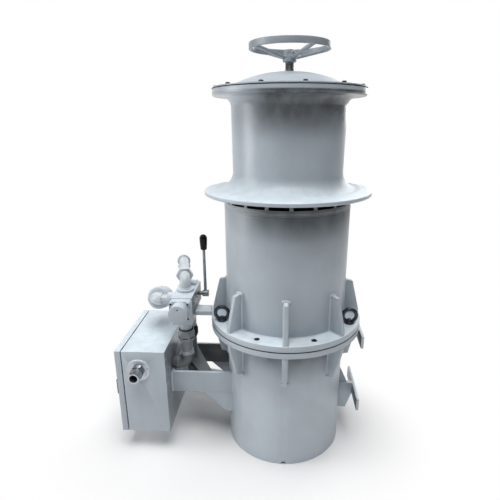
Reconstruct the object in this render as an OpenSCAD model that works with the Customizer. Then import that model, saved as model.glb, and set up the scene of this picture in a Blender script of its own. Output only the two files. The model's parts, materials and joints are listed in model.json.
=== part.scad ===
// Air winch: a vertical capstan on a tubular stand, with a hand valve and an air cabinet at its side.
// The Z axis is the capstan's axis and z = 0 is the floor. The cabinet stands on the -X side.

/* [Stand] */
// Outer diameter of both casing tubes
casing_d = 457; // [440:1:480]
// Wall of both casing tubes
casing_wall = 10; // [8:0.5:14]
// Height of the lower casing, from the floor to its flange
lower_h = 496; // [480:1:520]
// Thickness of the plate that closes the bottom
floor_t = 12; // [8:1:20]
// Height of the upper casing above its flange
upper_h = 428; // [420:1:450]
// Width of the two flanges, beyond the casing
flange_w = 61.5; // [58:0.5:70]
// Thickness of each flange
flange_t = 22; // [18:1:26]
// Thickness of the gasket between the flanges
gasket_t = 2; // [1:0.5:4]
// Number of flange holes, with a gusset between each two
flange_holes = 8; // [8:1:8]
// Distance of the bolt circle from the flange's rim
bolt_edge = 32; // [28:1:34]
// Diameter of the flange holes
bolt_hole_d = 18; // [17:0.5:20]
// Diameter of the flange bolts and eye bolts
bolt_d = 16; // [14:0.5:16.5]
// Thickness of a gusset plate
gusset_t = 16; // [10:1:20]
// Height of a gusset
gusset_h = 140; // [110:1:170]
// Set-back of a gusset's foot from the flange's rim
gusset_inset = 4; // [2:0.5:8]
// Reach of a gusset at its small end
gusset_tip = 29; // [20:0.5:40]
// Height of the square toe at a gusset's foot
gusset_toe = 17; // [8:1:40]
// Drop of a gusset's small end towards its outer corner
gusset_slope = 7; // [2:1:20]
// Diameter of the drain in the foot of the lower casing
drain_d = 20; // [10:1:30]

/* [Head] */
// Thickness of the plate that closes the upper casing
head_plate_t = 19; // [14:1:24]
// Height of the slotted ring under the drum
slot_ring_h = 19; // [16:1:20]
// Radial width of the slotted ring
slot_ring_w = 26; // [18:1:34]
// Height of each slot
slot_h = 14; // [8:1:15]
// Number of posts between the slots
slot_posts = 18; // [12:1:24]
// Width of a post
slot_post_w = 13; // [8:1:20]
// Direction of the first post
slot_post_turn = -7.2; // [-20:0.1:20]
// Diameter of the main shaft
shaft_d = 100; // [90:1:110]
// Outer diameter of a main bearing
bearing_d = 150; // [140:1:170]
// Height of a main bearing
bearing_h = 30; // [22:1:36]
// Wall of the bearing housing
housing_wall = 21; // [14:1:28]
// Length of the bearing housing below the head plate
housing_h = 170; // [120:1:200]
// Running clearance of a turning shaft, all round
running = 0.05; // [0.02:0.01:0.09]

/* [Drum] */
// Gap between the slotted ring and the drum
drum_gap = 4.7; // [3:0.1:8]
// Overall height of the drum
drum_h = 347; // [335:1:360]
// Diameter of the drum's lower flange
drum_foot_d = 598; // [590:1:610]
// Thickness of the lower flange at its rounded rim
drum_foot_t = 13; // [10:0.5:16]
// Rise of the lower flange from its rim to the flare
drum_foot_rise = 9; // [4:0.5:14]
// Diameter of the barrel just above the flare
barrel_low_d = 390; // [380:1:400]
// Diameter of the barrel just below the upper flange
barrel_top_d = 397; // [386:1:404]
// Radius of the flare at the barrel's foot
flare_r = 61; // [45:1:70]
// Diameter of the drum's upper flange
drum_head_d = 522; // [516:1:540]
// Thickness of the upper flange
drum_head_t = 23; // [18:1:28]
// Radius of the fillet under the upper flange
head_fillet_r = 32; // [20:1:40]
// Rounding of the upper flange's lower edge
head_round_r = 7; // [3:0.5:9]
// Wall of the drum barrel
drum_wall = 13; // [10:0.5:18]
// Thickness of the web that joins hub and barrel
web_t = 18; // [12:1:24]
// Height of the web above the drum's foot
web_rise = 137; // [110:1:160]
// Height of the hub above the drum's foot
hub_rise = 27; // [20:1:40]
// Depth of the clutch's ledge below the drum's top
ledge_drop = 78; // [72:1:90]
// Thickness of the clutch's ledge
ledge_t = 10; // [8:1:14]
// Gap between the hub and the clutch plate
hub_gap = 22; // [16:1:30]
// Wall of the drum hub
hub_wall = 27; // [18:1:32]
// Wall of the bronze bushes in the hub
bush_wall = 8; // [5:0.5:12]
// Height of each bush
bush_h = 30; // [20:1:45]

/* [Cover] */
// Thickness of the gasket under the cover
cover_gasket_t = 2; // [1:0.5:4]
// Diameter of the cover
cover_d = 518; // [512:1:522]
// Thickness of the cover plate
cover_t = 5; // [4:0.5:8]
// Diameter of the domed part
dome_d = 416; // [380:1:440]
// Height of the dome above the lip
dome_h = 50; // [40:1:60]
// Number of cover screws
cover_screws_n = 12; // [8:1:16]
// Diameter of the circle of cover screws
cover_screw_circle = 494; // [484:1:498]
// Diameter of a cover screw
cover_screw_d = 10; // [8:0.5:12]
// Head diameter of a cover screw
cover_screw_head_d = 17; // [14:0.5:20]
// Head height of a cover screw
cover_screw_head_h = 8; // [5:0.5:10]

/* [Handwheel] */
// Outer diameter of the handwheel
wheel_d = 272; // [240:1:300]
// Height of the flat bar that forms the rim
rim_h = 20.7; // [14:0.1:28]
// Thickness of the rim
rim_t = 8; // [5:0.5:14]
// Height of the rim's top above the dome's crown
wheel_rise = 87; // [80:1:100]
// Number of spokes
spokes = 4; // [3:1:5]
// Width of a spoke
spoke_w = 15; // [10:0.5:20]
// Thickness of a spoke
spoke_t = 8; // [5:0.5:10]
// Diameter of the hub
wheel_hub_d = 46; // [42:1:60]
// Height of the hub
wheel_hub_h = 20; // [16:1:26]
// Height of the hub's foot above the dome's crown
wheel_hub_rise = 29; // [24:1:34]
// Diameter of the spindle
spindle_d = 30; // [26:0.5:34]
// Travel of the spindle in one turn
spindle_lead = 6; // [4:0.5:8]
// Depth of the spindle's thread
thread_depth = 2.2; // [1.5:0.1:3]
// Width across the corners of the wheel nut
wheel_nut_d = 40; // [36:1:46]
// Height of the wheel nut
wheel_nut_h = 15; // [10:1:18]
// Thickness of the clutch plate on the main shaft
clutch_t = 20; // [16:1:26]
// Diameter of the clutch plate
clutch_d = 300; // [260:1:330]
// Thickness of the pressure plate
pressure_t = 16; // [12:1:20]

/* [Drive] */
// Module of the gear teeth
gear_module = 6; // [5.6:0.1:6.4]
// Teeth of the sun gear
sun_teeth = 18; // [18:1:18]
// Teeth of each planet gear
planet_teeth = 18; // [18:1:18]
// Number of planet gears
planets = 3; // [3:1:3]
// Height of the gear ring
gear_h = 72; // [60:1:80]
// Height of the gear ring's foot above the upper flange
gear_rise = 76; // [60:1:100]
// Play between the teeth
gear_play = 0.4; // [0.3:0.05:0.6]
// Diameter of the planet pins
pin_d = 36; // [30:1:40]
// Thickness of the planet carrier
carrier_t = 22; // [16:1:28]
// Diameter of the sun shaft
sun_shaft_d = 44; // [36:1:52]
// Thickness of the plate that the motor hangs on
motor_plate_t = 16; // [12:1:24]
// Height of the motor plate's underside above the floor
motor_plate_z = 400; // [390:1:420]
// Diameter of the motor's crankcase
motor_d = 210; // [190:1:230]
// Diameter of the valve chest under the crankcase
chest_d = 226; // [214:1:240]
// Height of the valve chest
chest_h = 100; // [90:1:110]
// Height of the crankcase
crankcase_h = 175; // [160:1:190]
// Thickness of the motor's mounting flange
motor_flange_t = 20; // [14:1:24]
// Number of radial cylinders
cylinders = 5; // [3:1:5]
// Diameter of a cylinder's fins
cylinder_d = 100; // [80:1:108]
// Length of a cylinder beyond the crankcase
cylinder_l = 80; // [60:1:100]

/* [Frame] */
// Front face of the front arm, from the capstan's axis
front_arm_y = -103; // [-115:1:-95]
// Front face of the rear arm, from the capstan's axis
rear_arm_y = 121; // [115:1:128]
// Height of each arm
arm_h = 90; // [84:1:96]
// Thickness of each arm
arm_t = 12; // [8:1:16]
// Height of the arms' top above the floor
arm_top = 316; // [310:1:330]
// Thickness of the rail that carries the cabinet
rail_t = 8; // [6:1:12]
// Length of a brace under an arm
brace_l = 96; // [70:1:120]
// Height of a brace under an arm
brace_h = 88; // [60:1:120]
// Thickness of a brace
brace_t = 10; // [6:1:12]
// Set-back of a brace from its arm's front face
brace_back = 1; // [0.5:0.5:2]
// Thickness of the bay plate, a slanted bar between the arms
bay_t = 8; // [6:1:12]
// Outer reach of the bay plate along the front arm
bay_front = 152; // [140:1:165]
// Outer reach of the bay plate along the rear arm
bay_rear = 50; // [48:1:80]
// Width of the bay plate along the front arm
bay_w = 51; // [46:1:60]
// Length of a side pad
pad_l = 240; // [200:1:260]
// Height of a side pad
pad_h = 50; // [40:1:60]
// Thickness of a side pad
pad_t = 10; // [6:1:14]
// Middle of the side pads, from the capstan's axis
pad_y = 8; // [0:1:16]
// Drop of the upper pad's top below the flange
pad_drop = 4; // [2:1:6]
// Height of the lower pad's top above the floor
pad_lower_z = 216; // [200:1:240]
// Thickness of the arm that carries the lower pad
pad_arm_t = 16; // [10:1:20]
// Height of that arm at the casing
pad_arm_h = 118; // [100:1:130]

/* [Cabinet] */
// Width of the cabinet with its door
cab_w = 190; // [180:1:210]
// Depth of the cabinet
cab_d = 366; // [350:1:380]
// Height of the cabinet
cab_h = 353; // [345:1:370]
// Distance of the cabinet's inner side from the capstan's axis
cab_x = 447; // [444:1:456]
// Front of the cabinet, from the capstan's axis
cab_y = -176; // [-182:1:-170]
// Height of the cabinet's underside above the floor
cab_z = 90; // [80:1:96]
// Wall of the cabinet
cab_wall = 4; // [3:0.5:6]
// Thickness of the door
door_t = 22; // [16:1:28]
// Wall of the door
door_wall = 3; // [2:0.5:5]
// Thickness of the seal between door and cabinet
seal_t = 4; // [3:0.5:6]
// Width of the lip round the cabinet's opening
cab_lip = 14; // [10:1:20]
// Reach of a hinge's leaf along the cabinet's rear
leaf_l = 30; // [20:1:40]
// Diameter of the hinge knuckles
hinge_d = 13; // [10:0.5:16]
// Length of a hinge
hinge_l = 66; // [50:1:90]
// Diameter of the hinge pin
hinge_pin_d = 6; // [5:0.5:7]
// Diameter of the latch's shaft
latch_d = 18; // [12:1:22]
// Length of the latch's handle
latch_l = 62; // [40:1:70]
// Width of the latch's handle
latch_w = 12; // [8:1:16]
// Width of the heads of the air units
air_head_w = 78; // [60:1:84]
// Height of the heads of the air units
air_head_h = 62; // [50:1:70]
// Length of the heads of the air units
air_head_l = 90; // [74:1:92]
// Diameter of the bowls of the air units
bowl_d = 72; // [56:1:76]
// Height of the bowls of the air units
bowl_h = 140; // [110:1:160]
// Diameter of the regulator's knob
knob_d = 50; // [40:1:60]
// Height of the regulator's knob
knob_h = 32; // [24:1:36]
// Diameter of the lubricator's sight dome
sight_d = 34; // [24:1:40]
// Height of the lubricator's sight dome
sight_h = 24; // [16:1:30]
// Diameter of the boss round the air inlet
inlet_boss_d = 86; // [78:1:92]
// Width of the inlet's hexagon across its corners
inlet_hex = 54; // [50:1:60]
// Length of the air inlet beyond the cabinet
inlet_l = 60; // [48:1:70]

/* [Valve] */
// Width of the valve block
valve_w = 78; // [74:1:84]
// Height of the valve block
valve_h = 76; // [72:1:80]
// Length of the valve block
valve_l = 180; // [172:1:188]
// Height of the valve block's top above the upper flange
valve_rise = 95; // [90:1:100]
// Middle of the valve block, left of the capstan's axis
valve_x = 386; // [382:1:390]
// Rear of the valve block, from the capstan's axis
valve_rear = 64; // [60:1:70]
// Width of the foot under the valve block
foot_w = 72; // [66:1:74]
// Height of the foot under the valve block
foot_h = 33; // [26:1:36]
// Rear of the foot, from the capstan's axis
foot_rear = 32; // [26:1:40]
// Width of the end cap's flange
cap_flange_w = 80; // [76:1:84]
// Thickness of the end cap's flange
cap_flange_t = 28; // [20:1:32]
// Diameter of the spring cap
cap_d = 69; // [62:1:72]
// Length of the spring cap
cap_l = 38; // [30:1:44]
// Diameter of the vent in the spring cap
vent_d = 5; // [3:0.5:7]
// Height of the vent above the spring cap's middle
vent_rise = 20; // [14:1:24]
// Depth of the spool axis below the block's top
spool_drop = 38; // [36:1:40]
// Diameter of the spool
spool_d = 30; // [26:1:32]
// Diameter of the air pipes
pipe_d = 42; // [38:0.5:44]
// Wall of the air pipes
pipe_wall = 3.5; // [2.5:0.5:5]
// Bend radius of an elbow's middle line
elbow_r = 30; // [28:1:34]
// Diameter of an elbow fitting
elbow_d = 48; // [46:1:50]
// Width across the corners of a union nut
union_d = 66; // [60:1:68]
// Width across the corners of the black union nut
black_union_d = 57; // [54:1:60]
// Height of a union nut
union_h = 30; // [22:1:36]
// Height of the supply pipe's middle line above the floor
supply_z = 340; // [338:1:350]
// Diameter of the port boss on the valve's top
boss_d = 66; // [62:1:70]
// Height of the port boss on the valve's top
boss_h = 10; // [6:1:14]
// Diameter of the exhaust's boss
exhaust_boss_d = 54; // [48:1:60]
// Length of the exhaust's boss
exhaust_boss_l = 31; // [24:1:36]
// Diameter of the exhaust's neck
neck_d = 35; // [32:1:38]
// Diameter of the silencer
silencer_d = 91; // [86:1:96]
// Length of the silencer
silencer_l = 80; // [70:1:100]
// Downward slope of the silencer, in degrees
silencer_tilt = 19; // [0:1:24]
// Width of the flat bar beside the valve
bar_w = 61; // [50:1:70]
// Thickness of the flat bar beside the valve
bar_t = 17; // [10:1:20]

/* [Lever] */
// Diameter of the lever's shaft
lever_shaft_d = 16; // [12:1:18]
// Place of the lever's shaft, from the capstan's axis
lever_y = 12; // [6:1:20]
// Drop of the lever's shaft below the top of the valve block
lever_drop = 31; // [29:1:33]
// Reach of the lever's shaft beyond the valve block
lever_out = 41; // [38:1:50]
// Length of the lever from its shaft to its tip
lever_l = 242; // [200:1:280]
// Diameter of the lever's rod
rod_d = 11; // [9:0.5:13]
// Diameter of the grip at its thick end
grip_d = 29; // [24:1:34]
// Length of the grip
grip_l = 60; // [50:1:80]

/* [Hidden] */
$fn = 72;

// Colours as the photograph shows them
paint = [0.70, 0.73, 0.76];
steel = [0.62, 0.64, 0.66];
black = [0.07, 0.07, 0.08];
bronze = [0.66, 0.50, 0.27];

// A cut runs this far past the face that it opens
over = 1;
half_step = 180 / flange_holes;

casing_r = casing_d / 2;
casing_in = casing_r - casing_wall;
flange_r = casing_r + flange_w;
bolt_circle = 2 * (flange_r - bolt_edge);
gusset_foot = flange_w - gusset_inset;
pad_upper_z = lower_h - pad_drop;
gasket_z = lower_h + flange_t;
upper_z = gasket_z + gasket_t;
deck_z = upper_z + flange_t;
seam_z = deck_z + upper_h;
head_z = seam_z + head_plate_t;
ring_top = head_z + slot_ring_h;

shaft_r = shaft_d / 2;
bearing_r = bearing_d / 2;
housing_r = bearing_r + housing_wall;
housing_z = seam_z - housing_h;
bearing_inset = 4;
bearing_seat_z = head_z - bearing_inset;
collar_wall = 12;
collar_r = shaft_r + collar_wall;
collar_play = 3;

drum_z = ring_top + drum_gap;
drum_top = drum_z + drum_h;
drum_foot_r = drum_foot_d / 2;
drum_head_r = drum_head_d / 2;
foot_round = drum_foot_t / 2;
flare_z = drum_z + drum_foot_t + drum_foot_rise;
bore_r = barrel_low_d / 2 - drum_wall;
bush_r = shaft_r + bush_wall;
hub_z = drum_z + hub_rise;
ledge_z = drum_top - ledge_drop;
hub_h = ledge_z + ledge_t - hub_gap - hub_z;
web_z = drum_z + web_rise;

cover_z = drum_top + cover_gasket_t;
lip_top = cover_z + cover_t;
crown_z = lip_top + dome_h;
cover_r = cover_d / 2;
dome_r = dome_d / 2;
screw_turn = 10;
cover_hole_d = cover_screw_d + 0.5;
screw_depth = 18;
spindle_r = spindle_d / 2;
spindle_step = 2;
spindle_top_r = spindle_r - spindle_step;
boss_low = 34;
boss_wall = 12;

clutch_z = ledge_z + ledge_t;
clutch_top = clutch_z + clutch_t;
pressure_z = clutch_top;
thrust_h = 16;
thrust_wall = 14;
thrust_z = pressure_z + pressure_t + thrust_h;
thrust_r = spindle_r + thrust_wall;
wheel_top = crown_z + wheel_rise;
rim_z = wheel_top - rim_h;
wheel_r = wheel_d / 2;
wheel_hub_z = crown_z + wheel_hub_rise;
wheel_hub_r = wheel_hub_d / 2;
wheel_nut_z = wheel_hub_z + wheel_hub_h;
spindle_end = 3;
spindle_top = wheel_nut_z + wheel_nut_h + spindle_end;
spoke_turn = 33;

ring_teeth = sun_teeth + 2 * planet_teeth;
sun_pitch_r = gear_module * sun_teeth / 2;
planet_pitch_r = gear_module * planet_teeth / 2;
ring_pitch_r = gear_module * ring_teeth / 2;
planet_orbit = sun_pitch_r + planet_pitch_r;
ring_gear_z = deck_z + gear_rise;
gear_inset = 6;
pressure_angle = 20;
root_depth = 1.25 * gear_module;
gear_z = ring_gear_z + gear_inset;
planet_h = gear_h - gear_inset;
carrier_gap = 4;
carrier_z = gear_z + planet_h + carrier_gap;
pin_r = pin_d / 2;
sun_shaft_r = sun_shaft_d / 2;
motor_r = motor_d / 2;
chest_r = chest_d / 2;
motor_top = motor_plate_z;
crankcase_z = motor_top - motor_flange_t - crankcase_h;
chest_z = crankcase_z - chest_h;
motor_bore_depth = 70;

arm_z = arm_top - arm_h;
rail_x = -cab_x;
pad_x = casing_r + gusset_foot;

cab_left = -cab_x - cab_w;
door_x = cab_left;
shell_x = cab_left + door_t + seal_t;
cab_rear = cab_y + cab_d;
cab_top = cab_z + cab_h;
hinge_x = cab_left + door_t + 2;
hinge_y = cab_rear + hinge_d / 2;
hinge_inset = 40;
knuckles = 3;
knuckle_play = 0.4;
air_x = -550;
air_z = 366;

valve_top = deck_z + valve_rise;
valve_bottom = valve_top - valve_h;
foot_z = valve_bottom - foot_h;
block_front = valve_rear - valve_l;
spool_z = valve_top - spool_drop;
spool_r = spool_d / 2;
pipe_r = pipe_d / 2;
pipe_in = pipe_r - pipe_wall;
port_x = -valve_x;
top_port_y = -38;
supply_y = -65;
return_y = 20;
exhaust_y = top_port_y;
lever_z = valve_top - lever_drop;
valve_right = -valve_x + valve_w / 2;
valve_left = -valve_x - valve_w / 2;
lever_tip = lever_z + lever_l;

nut_h = 13;
nut_across = 27.7;
bolt_tail = 7;
bolt_head_h = 10;
bolt_reach = deck_z - lower_h + nut_h + bolt_tail;
eye_hole_d = 35;
eye_bar_d = 14;
eye_collar_d = 36;
eye_collar_h = 9;
eye_centre = 31;
eye_turns = [-180 + half_step, -half_step];
rear_bolt_turns = [half_step, 3 * half_step, 5 * half_step, 7 * half_step];

// The two elbows above and behind the valve, and the runs below it
collar_w = 12;
collar_t = 3;
elbow_out = elbow_d / 2;
riser_x = -448;
riser_y = 219;
riser_z = 118;
riser_turn = -12.4;
riser_reach = 425;
return_z = 180;
riser_cut_x = 240;
riser_cut_l = 100;
top_neck = 7;
top_axis_z = valve_top + boss_h + elbow_r + top_neck;
top_turn = atan2(port_x - riser_x, riser_y - top_port_y);
top_run = norm([riser_x - port_x, riser_y - top_port_y]);
riser_joint_z = top_axis_z - elbow_r - collar_w;
joint_in = pipe_in - 0.5;
union_gap = 4;
union_start = elbow_r + union_gap;
union_l = 46;
top_union_l = 25;
supply_drop = 42;
return_drop = 67;
nipple_wall = 2;
supply_port_z = foot_z - supply_drop;
return_port_z = foot_z - return_drop;
nipple_r = pipe_r + nipple_wall;
exhaust_boss_x = valve_left - exhaust_boss_l;
exhaust_reach = 54;
exhaust_x = exhaust_boss_x - exhaust_reach;
neck_r = neck_d / 2;
neck_in = neck_r - pipe_wall;
silencer_neck_l = 16;
silencer_gap = elbow_r + silencer_neck_l;
silencer_edge = 10;
chest_port = 46;
chest_port_l = 12;
chest_port_x = -chest_r - chest_port_l;

hinge_zs = [cab_z + hinge_inset, cab_top - hinge_inset - hinge_l];
latch_inset = 40;
latch_y = cab_y + latch_inset;
latch_z = cab_z + cab_h / 2;
air_inset = 46;
air_gap = 20;
air_front = cab_y + air_inset;
lub_front = air_front + air_head_l + air_gap;
air_under = air_z - air_head_h / 2;
bracket_w = 40;
bracket_t = 6;
bracket_drop = 40;
turn_gap = 40;
turn_y = lub_front + air_head_l + turn_gap;
turn_x = -480;
drop_out = 35;
drop_x = air_x + drop_out;
coupling_l = 8;
coupling_t = 3;
drop = air_z - supply_z;
drop_turn = atan2(drop, turn_y - supply_y);
drop_run = norm([drop, turn_y - supply_y]);
inlet_boss_t = 5;
inlet_hex_l = 18;
inlet_bore_r = 15.15;
inlet_thread_l = 24;
crank_l = 17;
pin_z = lever_z - crank_l;
crank_pin_r = 4;
crank_t = 6;
crank_play = 3;
pin_inset = 5;
crank_x = -valve_x + spool_r + crank_play;
spool_inset = 15;
spool_room = 45;
spool_front = block_front + spool_inset;
spool_l = valve_l - spool_room;
lever_hub_r = 13;
rod_inset = 12;
rod_x = valve_right + lever_out - rod_inset;
rod_depth = 10;

// A ring or tube that stands on z = 0
module tube(outer, inner, height) {
    difference() {
        cylinder(r = outer, h = height);
        translate([0, 0, -over]) cylinder(r = inner, h = height + 2 * over);
    }
}

// Copies of its children, evenly spaced round the axis
module around(count, radius, start = 0) {
    for (i = [0 : count - 1])
        rotate([0, 0, start + i * 360 / count]) translate([radius, 0, 0]) children();
}

// A hexagon prism, measured across its corners
module hexagon(across, height) {
    cylinder(d = across, h = height, $fn = 6);
}

// A box from its low corner to its high corner
module block(low, high) {
    translate(low) cube(high - low);
}

// Points of an arc in a profile
function arc(centre, radius, from, to, steps) =
    [for (i = [0 : steps]) let (a = from + (to - from) * i / steps) centre + radius * [cos(a), sin(a)]];

function unit(v) = v / norm(v);

// A straight piece of pipe between two points
module pipe_straight(from, to, outer, inner) {
    d = to - from;
    translate(from) rotate([0, acos(d.z / norm(d)), atan2(d.y, d.x)]) difference() {
        cylinder(r = outer, h = norm(d));
        if (inner > 0) translate([0, 0, -over]) cylinder(r = inner, h = norm(d) + 2 * over);
    }
}

// A right-angled pipe bend at a corner, from direction u to direction v
module pipe_bend(corner, u, v, bend, outer, inner) {
    c = corner + bend * (v - u);
    w = cross(-v, u);
    multmatrix([[-v.x, u.x, w.x, c.x], [-v.y, u.y, w.y, c.y], [-v.z, u.z, w.z, c.z], [0, 0, 0, 1]])
        rotate_extrude(angle = 90) translate([bend, 0]) difference() {
            circle(r = outer);
            if (inner > 0) circle(r = inner);
        }
}

// A run of pipe along corner points that turn at right angles, with an elbow fitting at each corner
module pipe_run(points, bend, outer, inner, fitting, collars = true) {
    last = len(points) - 1;
    for (i = [0 : last - 1]) {
        d = unit(points[i + 1] - points[i]);
        a = points[i] + (i > 0 ? bend : 0) * d;
        b = points[i + 1] - (i < last - 1 ? bend : 0) * d;
        pipe_straight(a, b, outer, inner);
    }
    for (i = [1 : 1 : last - 1]) {
        u = unit(points[i] - points[i - 1]);
        v = unit(points[i + 1] - points[i]);
        pipe_bend(points[i], u, v, bend, fitting, inner);
        if (collars) {
            pipe_straight(points[i] - bend * u, points[i] - (bend + collar_w) * u, fitting + collar_t, inner);
            pipe_straight(points[i] + bend * v, points[i] + (bend + collar_w) * v, fitting + collar_t, inner);
        }
    }
}

// Stand

module lower_casing() {
    color(paint) difference() {
        cylinder(r = casing_r, h = gasket_z);
        translate([0, 0, floor_t]) cylinder(r = casing_in, h = gasket_z);
        translate([0, -casing_in + over, 0]) rotate([90, 0, 0])
            cylinder(d = drain_d, h = casing_wall + over * 3);
        translate([0, return_y, return_z]) rotate([0, -90, 0]) cylinder(r = pipe_r, h = casing_r + over);
        on_riser_line() translate([riser_cut_x, 0, riser_z]) rotate([0, 90, 0])
            cylinder(r = pipe_r, h = riser_cut_l);
    }
}

// One flange ring with its circle of holes
module flange() {
    difference() {
        tube(flange_r, casing_r, flange_t);
        around(flange_holes, bolt_circle / 2, half_step)
            translate([0, 0, -over]) cylinder(d = bolt_hole_d, h = flange_t + 2 * over);
    }
}

module lower_flange() {
    color(paint) translate([0, 0, lower_h]) flange();
}

module upper_flange() {
    color(paint) translate([0, 0, upper_z]) flange();
}

module flange_gasket() {
    color(black) translate([0, 0, gasket_z]) difference() {
        tube(flange_r - 2, casing_in, gasket_t);
        around(flange_holes, bolt_circle / 2, half_step)
            translate([0, 0, -over]) cylinder(d = bolt_hole_d, h = gasket_t + 2 * over);
    }
}

module upper_casing() {
    color(paint) translate([0, 0, upper_z]) tube(casing_r, casing_in, seam_z - upper_z);
}

// One gusset plate that stands on the XZ plane with its foot at z = 0
module gusset() {
    difference() {
        translate([0, gusset_t / 2, 0]) rotate([90, 0, 0]) linear_extrude(gusset_t) polygon([
            [casing_r - casing_wall / 2, 0],
            [casing_r + gusset_foot, 0],
            [casing_r + gusset_foot, gusset_toe],
            [casing_r + gusset_tip, gusset_h - gusset_slope],
            [casing_r - casing_wall / 2, gusset_h]
        ]);
        translate([0, 0, -over]) cylinder(r = casing_r, h = gusset_h + 2 * over);
    }
}

module gussets() {
    color(paint) {
        translate([0, 0, deck_z]) around(flange_holes, 0) gusset();
        translate([0, 0, lower_h]) mirror([0, 0, 1]) around(flange_holes, 0) gusset();
    }
}

// Head

// A hexagon nut under the lower flange
module flange_nut() {
    translate([0, 0, lower_h - nut_h]) difference() {
        hexagon(nut_across, nut_h);
        translate([0, 0, -over]) cylinder(d = bolt_d, h = nut_h + 2 * over);
    }
}

// One eye bolt that stands on z = 0, with its eye facing the front
module eye_bolt() {
    translate([0, 0, -bolt_reach]) cylinder(d = bolt_d, h = bolt_reach + over);
    cylinder(d = eye_collar_d, h = eye_collar_h);
    difference() {
        translate([0, 0, eye_centre]) rotate([90, 0, 0])
            rotate_extrude() translate([(eye_hole_d + eye_bar_d) / 2, 0]) circle(d = eye_bar_d);
        translate([0, 0, -eye_bar_d]) cylinder(d = eye_collar_d, h = eye_bar_d);
    }
}

module eye_bolts() {
    color(black) for (turn = eye_turns) rotate([0, 0, turn]) translate([bolt_circle / 2, 0, 0]) {
        translate([0, 0, deck_z]) rotate([0, 0, -turn]) eye_bolt();
        flange_nut();
    }
}

module flange_bolts() {
    color(paint) for (turn = rear_bolt_turns) rotate([0, 0, turn]) translate([bolt_circle / 2, 0, 0]) {
        translate([0, 0, deck_z]) hexagon(nut_across, bolt_head_h);
        translate([0, 0, deck_z - bolt_reach]) cylinder(d = bolt_d, h = bolt_reach);
        flange_nut();
    }
}

// The plate on top of the upper casing, with the bearing housing that hangs from it
module head_plate() {
    color(paint) difference() {
        union() {
            translate([0, 0, seam_z]) cylinder(r = casing_r, h = head_plate_t);
            translate([0, 0, housing_z]) cylinder(r = housing_r, h = housing_h + over);
        }
        translate([0, 0, housing_z - over]) cylinder(r = bearing_r, h = bearing_h + over);
        translate([0, 0, housing_z]) cylinder(r = shaft_r + collar_play, h = housing_h);
        translate([0, 0, bearing_seat_z - bearing_h])
            cylinder(r = bearing_r, h = bearing_h + bearing_inset + over);
    }
}

module slotted_ring() {
    color(paint) difference() {
        translate([0, 0, head_z]) tube(casing_r, casing_r - slot_ring_w, slot_ring_h);
        difference() {
            translate([0, 0, head_z - over])
                tube(casing_r + over, casing_r - slot_ring_w - over, slot_h + over);
            around(slot_posts, casing_r - slot_ring_w / 2, slot_post_turn)
                block([-slot_ring_w, -slot_post_w / 2, head_z - 2 * over],
                    [slot_ring_w, slot_post_w / 2, head_z + slot_h + over]);
        }
    }
}

module main_bearings() {
    color(steel) for (z = [housing_z, bearing_seat_z - bearing_h])
        translate([0, 0, z]) tube(bearing_r, shaft_r + running, bearing_h);
}

// Frame and side pads

// A plate on the XZ plane from y to y + thickness
module upright(outline, y, thickness) {
    translate([0, y + thickness, 0]) rotate([90, 0, 0]) linear_extrude(thickness) polygon(outline);
}

module side_pads() {
    color(paint) for (top = [pad_upper_z, pad_lower_z])
        block([pad_x, pad_y - pad_l / 2, top - pad_h], [pad_x + pad_t, pad_y + pad_l / 2, top]);
}

module pad_arm() {
    rib_h = 80;
    rib_w = 36;
    arm_cut = 24;
    color(paint) difference() {
        union() {
            upright([
                [0, pad_lower_z - pad_arm_h],
                [pad_x - arm_cut, pad_lower_z - pad_arm_h],
                [pad_x, pad_lower_z - pad_h],
                [pad_x, pad_lower_z],
                [0, pad_lower_z]
            ], pad_y - pad_arm_t / 2, pad_arm_t);
            upright([
                [casing_in, pad_lower_z - over],
                [casing_r + rib_w, pad_lower_z - over],
                [casing_r + rib_w, pad_lower_z],
                [casing_r, pad_lower_z + rib_h],
                [casing_in, pad_lower_z + rib_h]
            ], pad_y + pad_arm_t / 2 - brace_t, brace_t);
        }
        cylinder(r = casing_r, h = lower_h);
    }
}

// An arm from the rail to the casing, cut to the casing's curve
module arm_plate(y) {
    difference() {
        block([rail_x, y, arm_z], [0, y + arm_t, arm_top]);
        cylinder(r = casing_r, h = lower_h);
    }
}

module front_arm() {
    color(paint) arm_plate(front_arm_y);
}

module rear_arm() {
    color(paint) arm_plate(rear_arm_y);
}

module cabinet_rail() {
    color(paint) block([rail_x, front_arm_y + arm_t, arm_z], [rail_x + rail_t, rear_arm_y, arm_top]);
}

module arm_braces() {
    color(paint) difference() {
        for (y = [front_arm_y, rear_arm_y])
            upright([
                [-casing_r - brace_l, arm_z],
                [0, arm_z],
                [0, arm_z - brace_h],
                [-casing_r, arm_z - brace_h]
            ], y + brace_back, brace_t);
        cylinder(r = casing_r, h = lower_h);
    }
}

module bay_plate() {
    edge = 7;
    color(paint) translate([0, 0, arm_top - bay_t]) difference() {
        linear_extrude(bay_t) polygon([
            [rail_x + rail_t + bay_front - bay_w, front_arm_y + arm_t],
            [rail_x + rail_t + bay_front, front_arm_y + arm_t],
            [rail_x + rail_t + bay_rear, rear_arm_y],
            [rail_x + rail_t, rear_arm_y],
            [rail_x + rail_t, rear_arm_y - bay_w],
            [port_x - pipe_r - edge, return_y]
        ]);
        translate([port_x, return_y, -over]) cylinder(r = pipe_r, h = bay_t + 2 * over);
    }
}

// Cabinet

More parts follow.
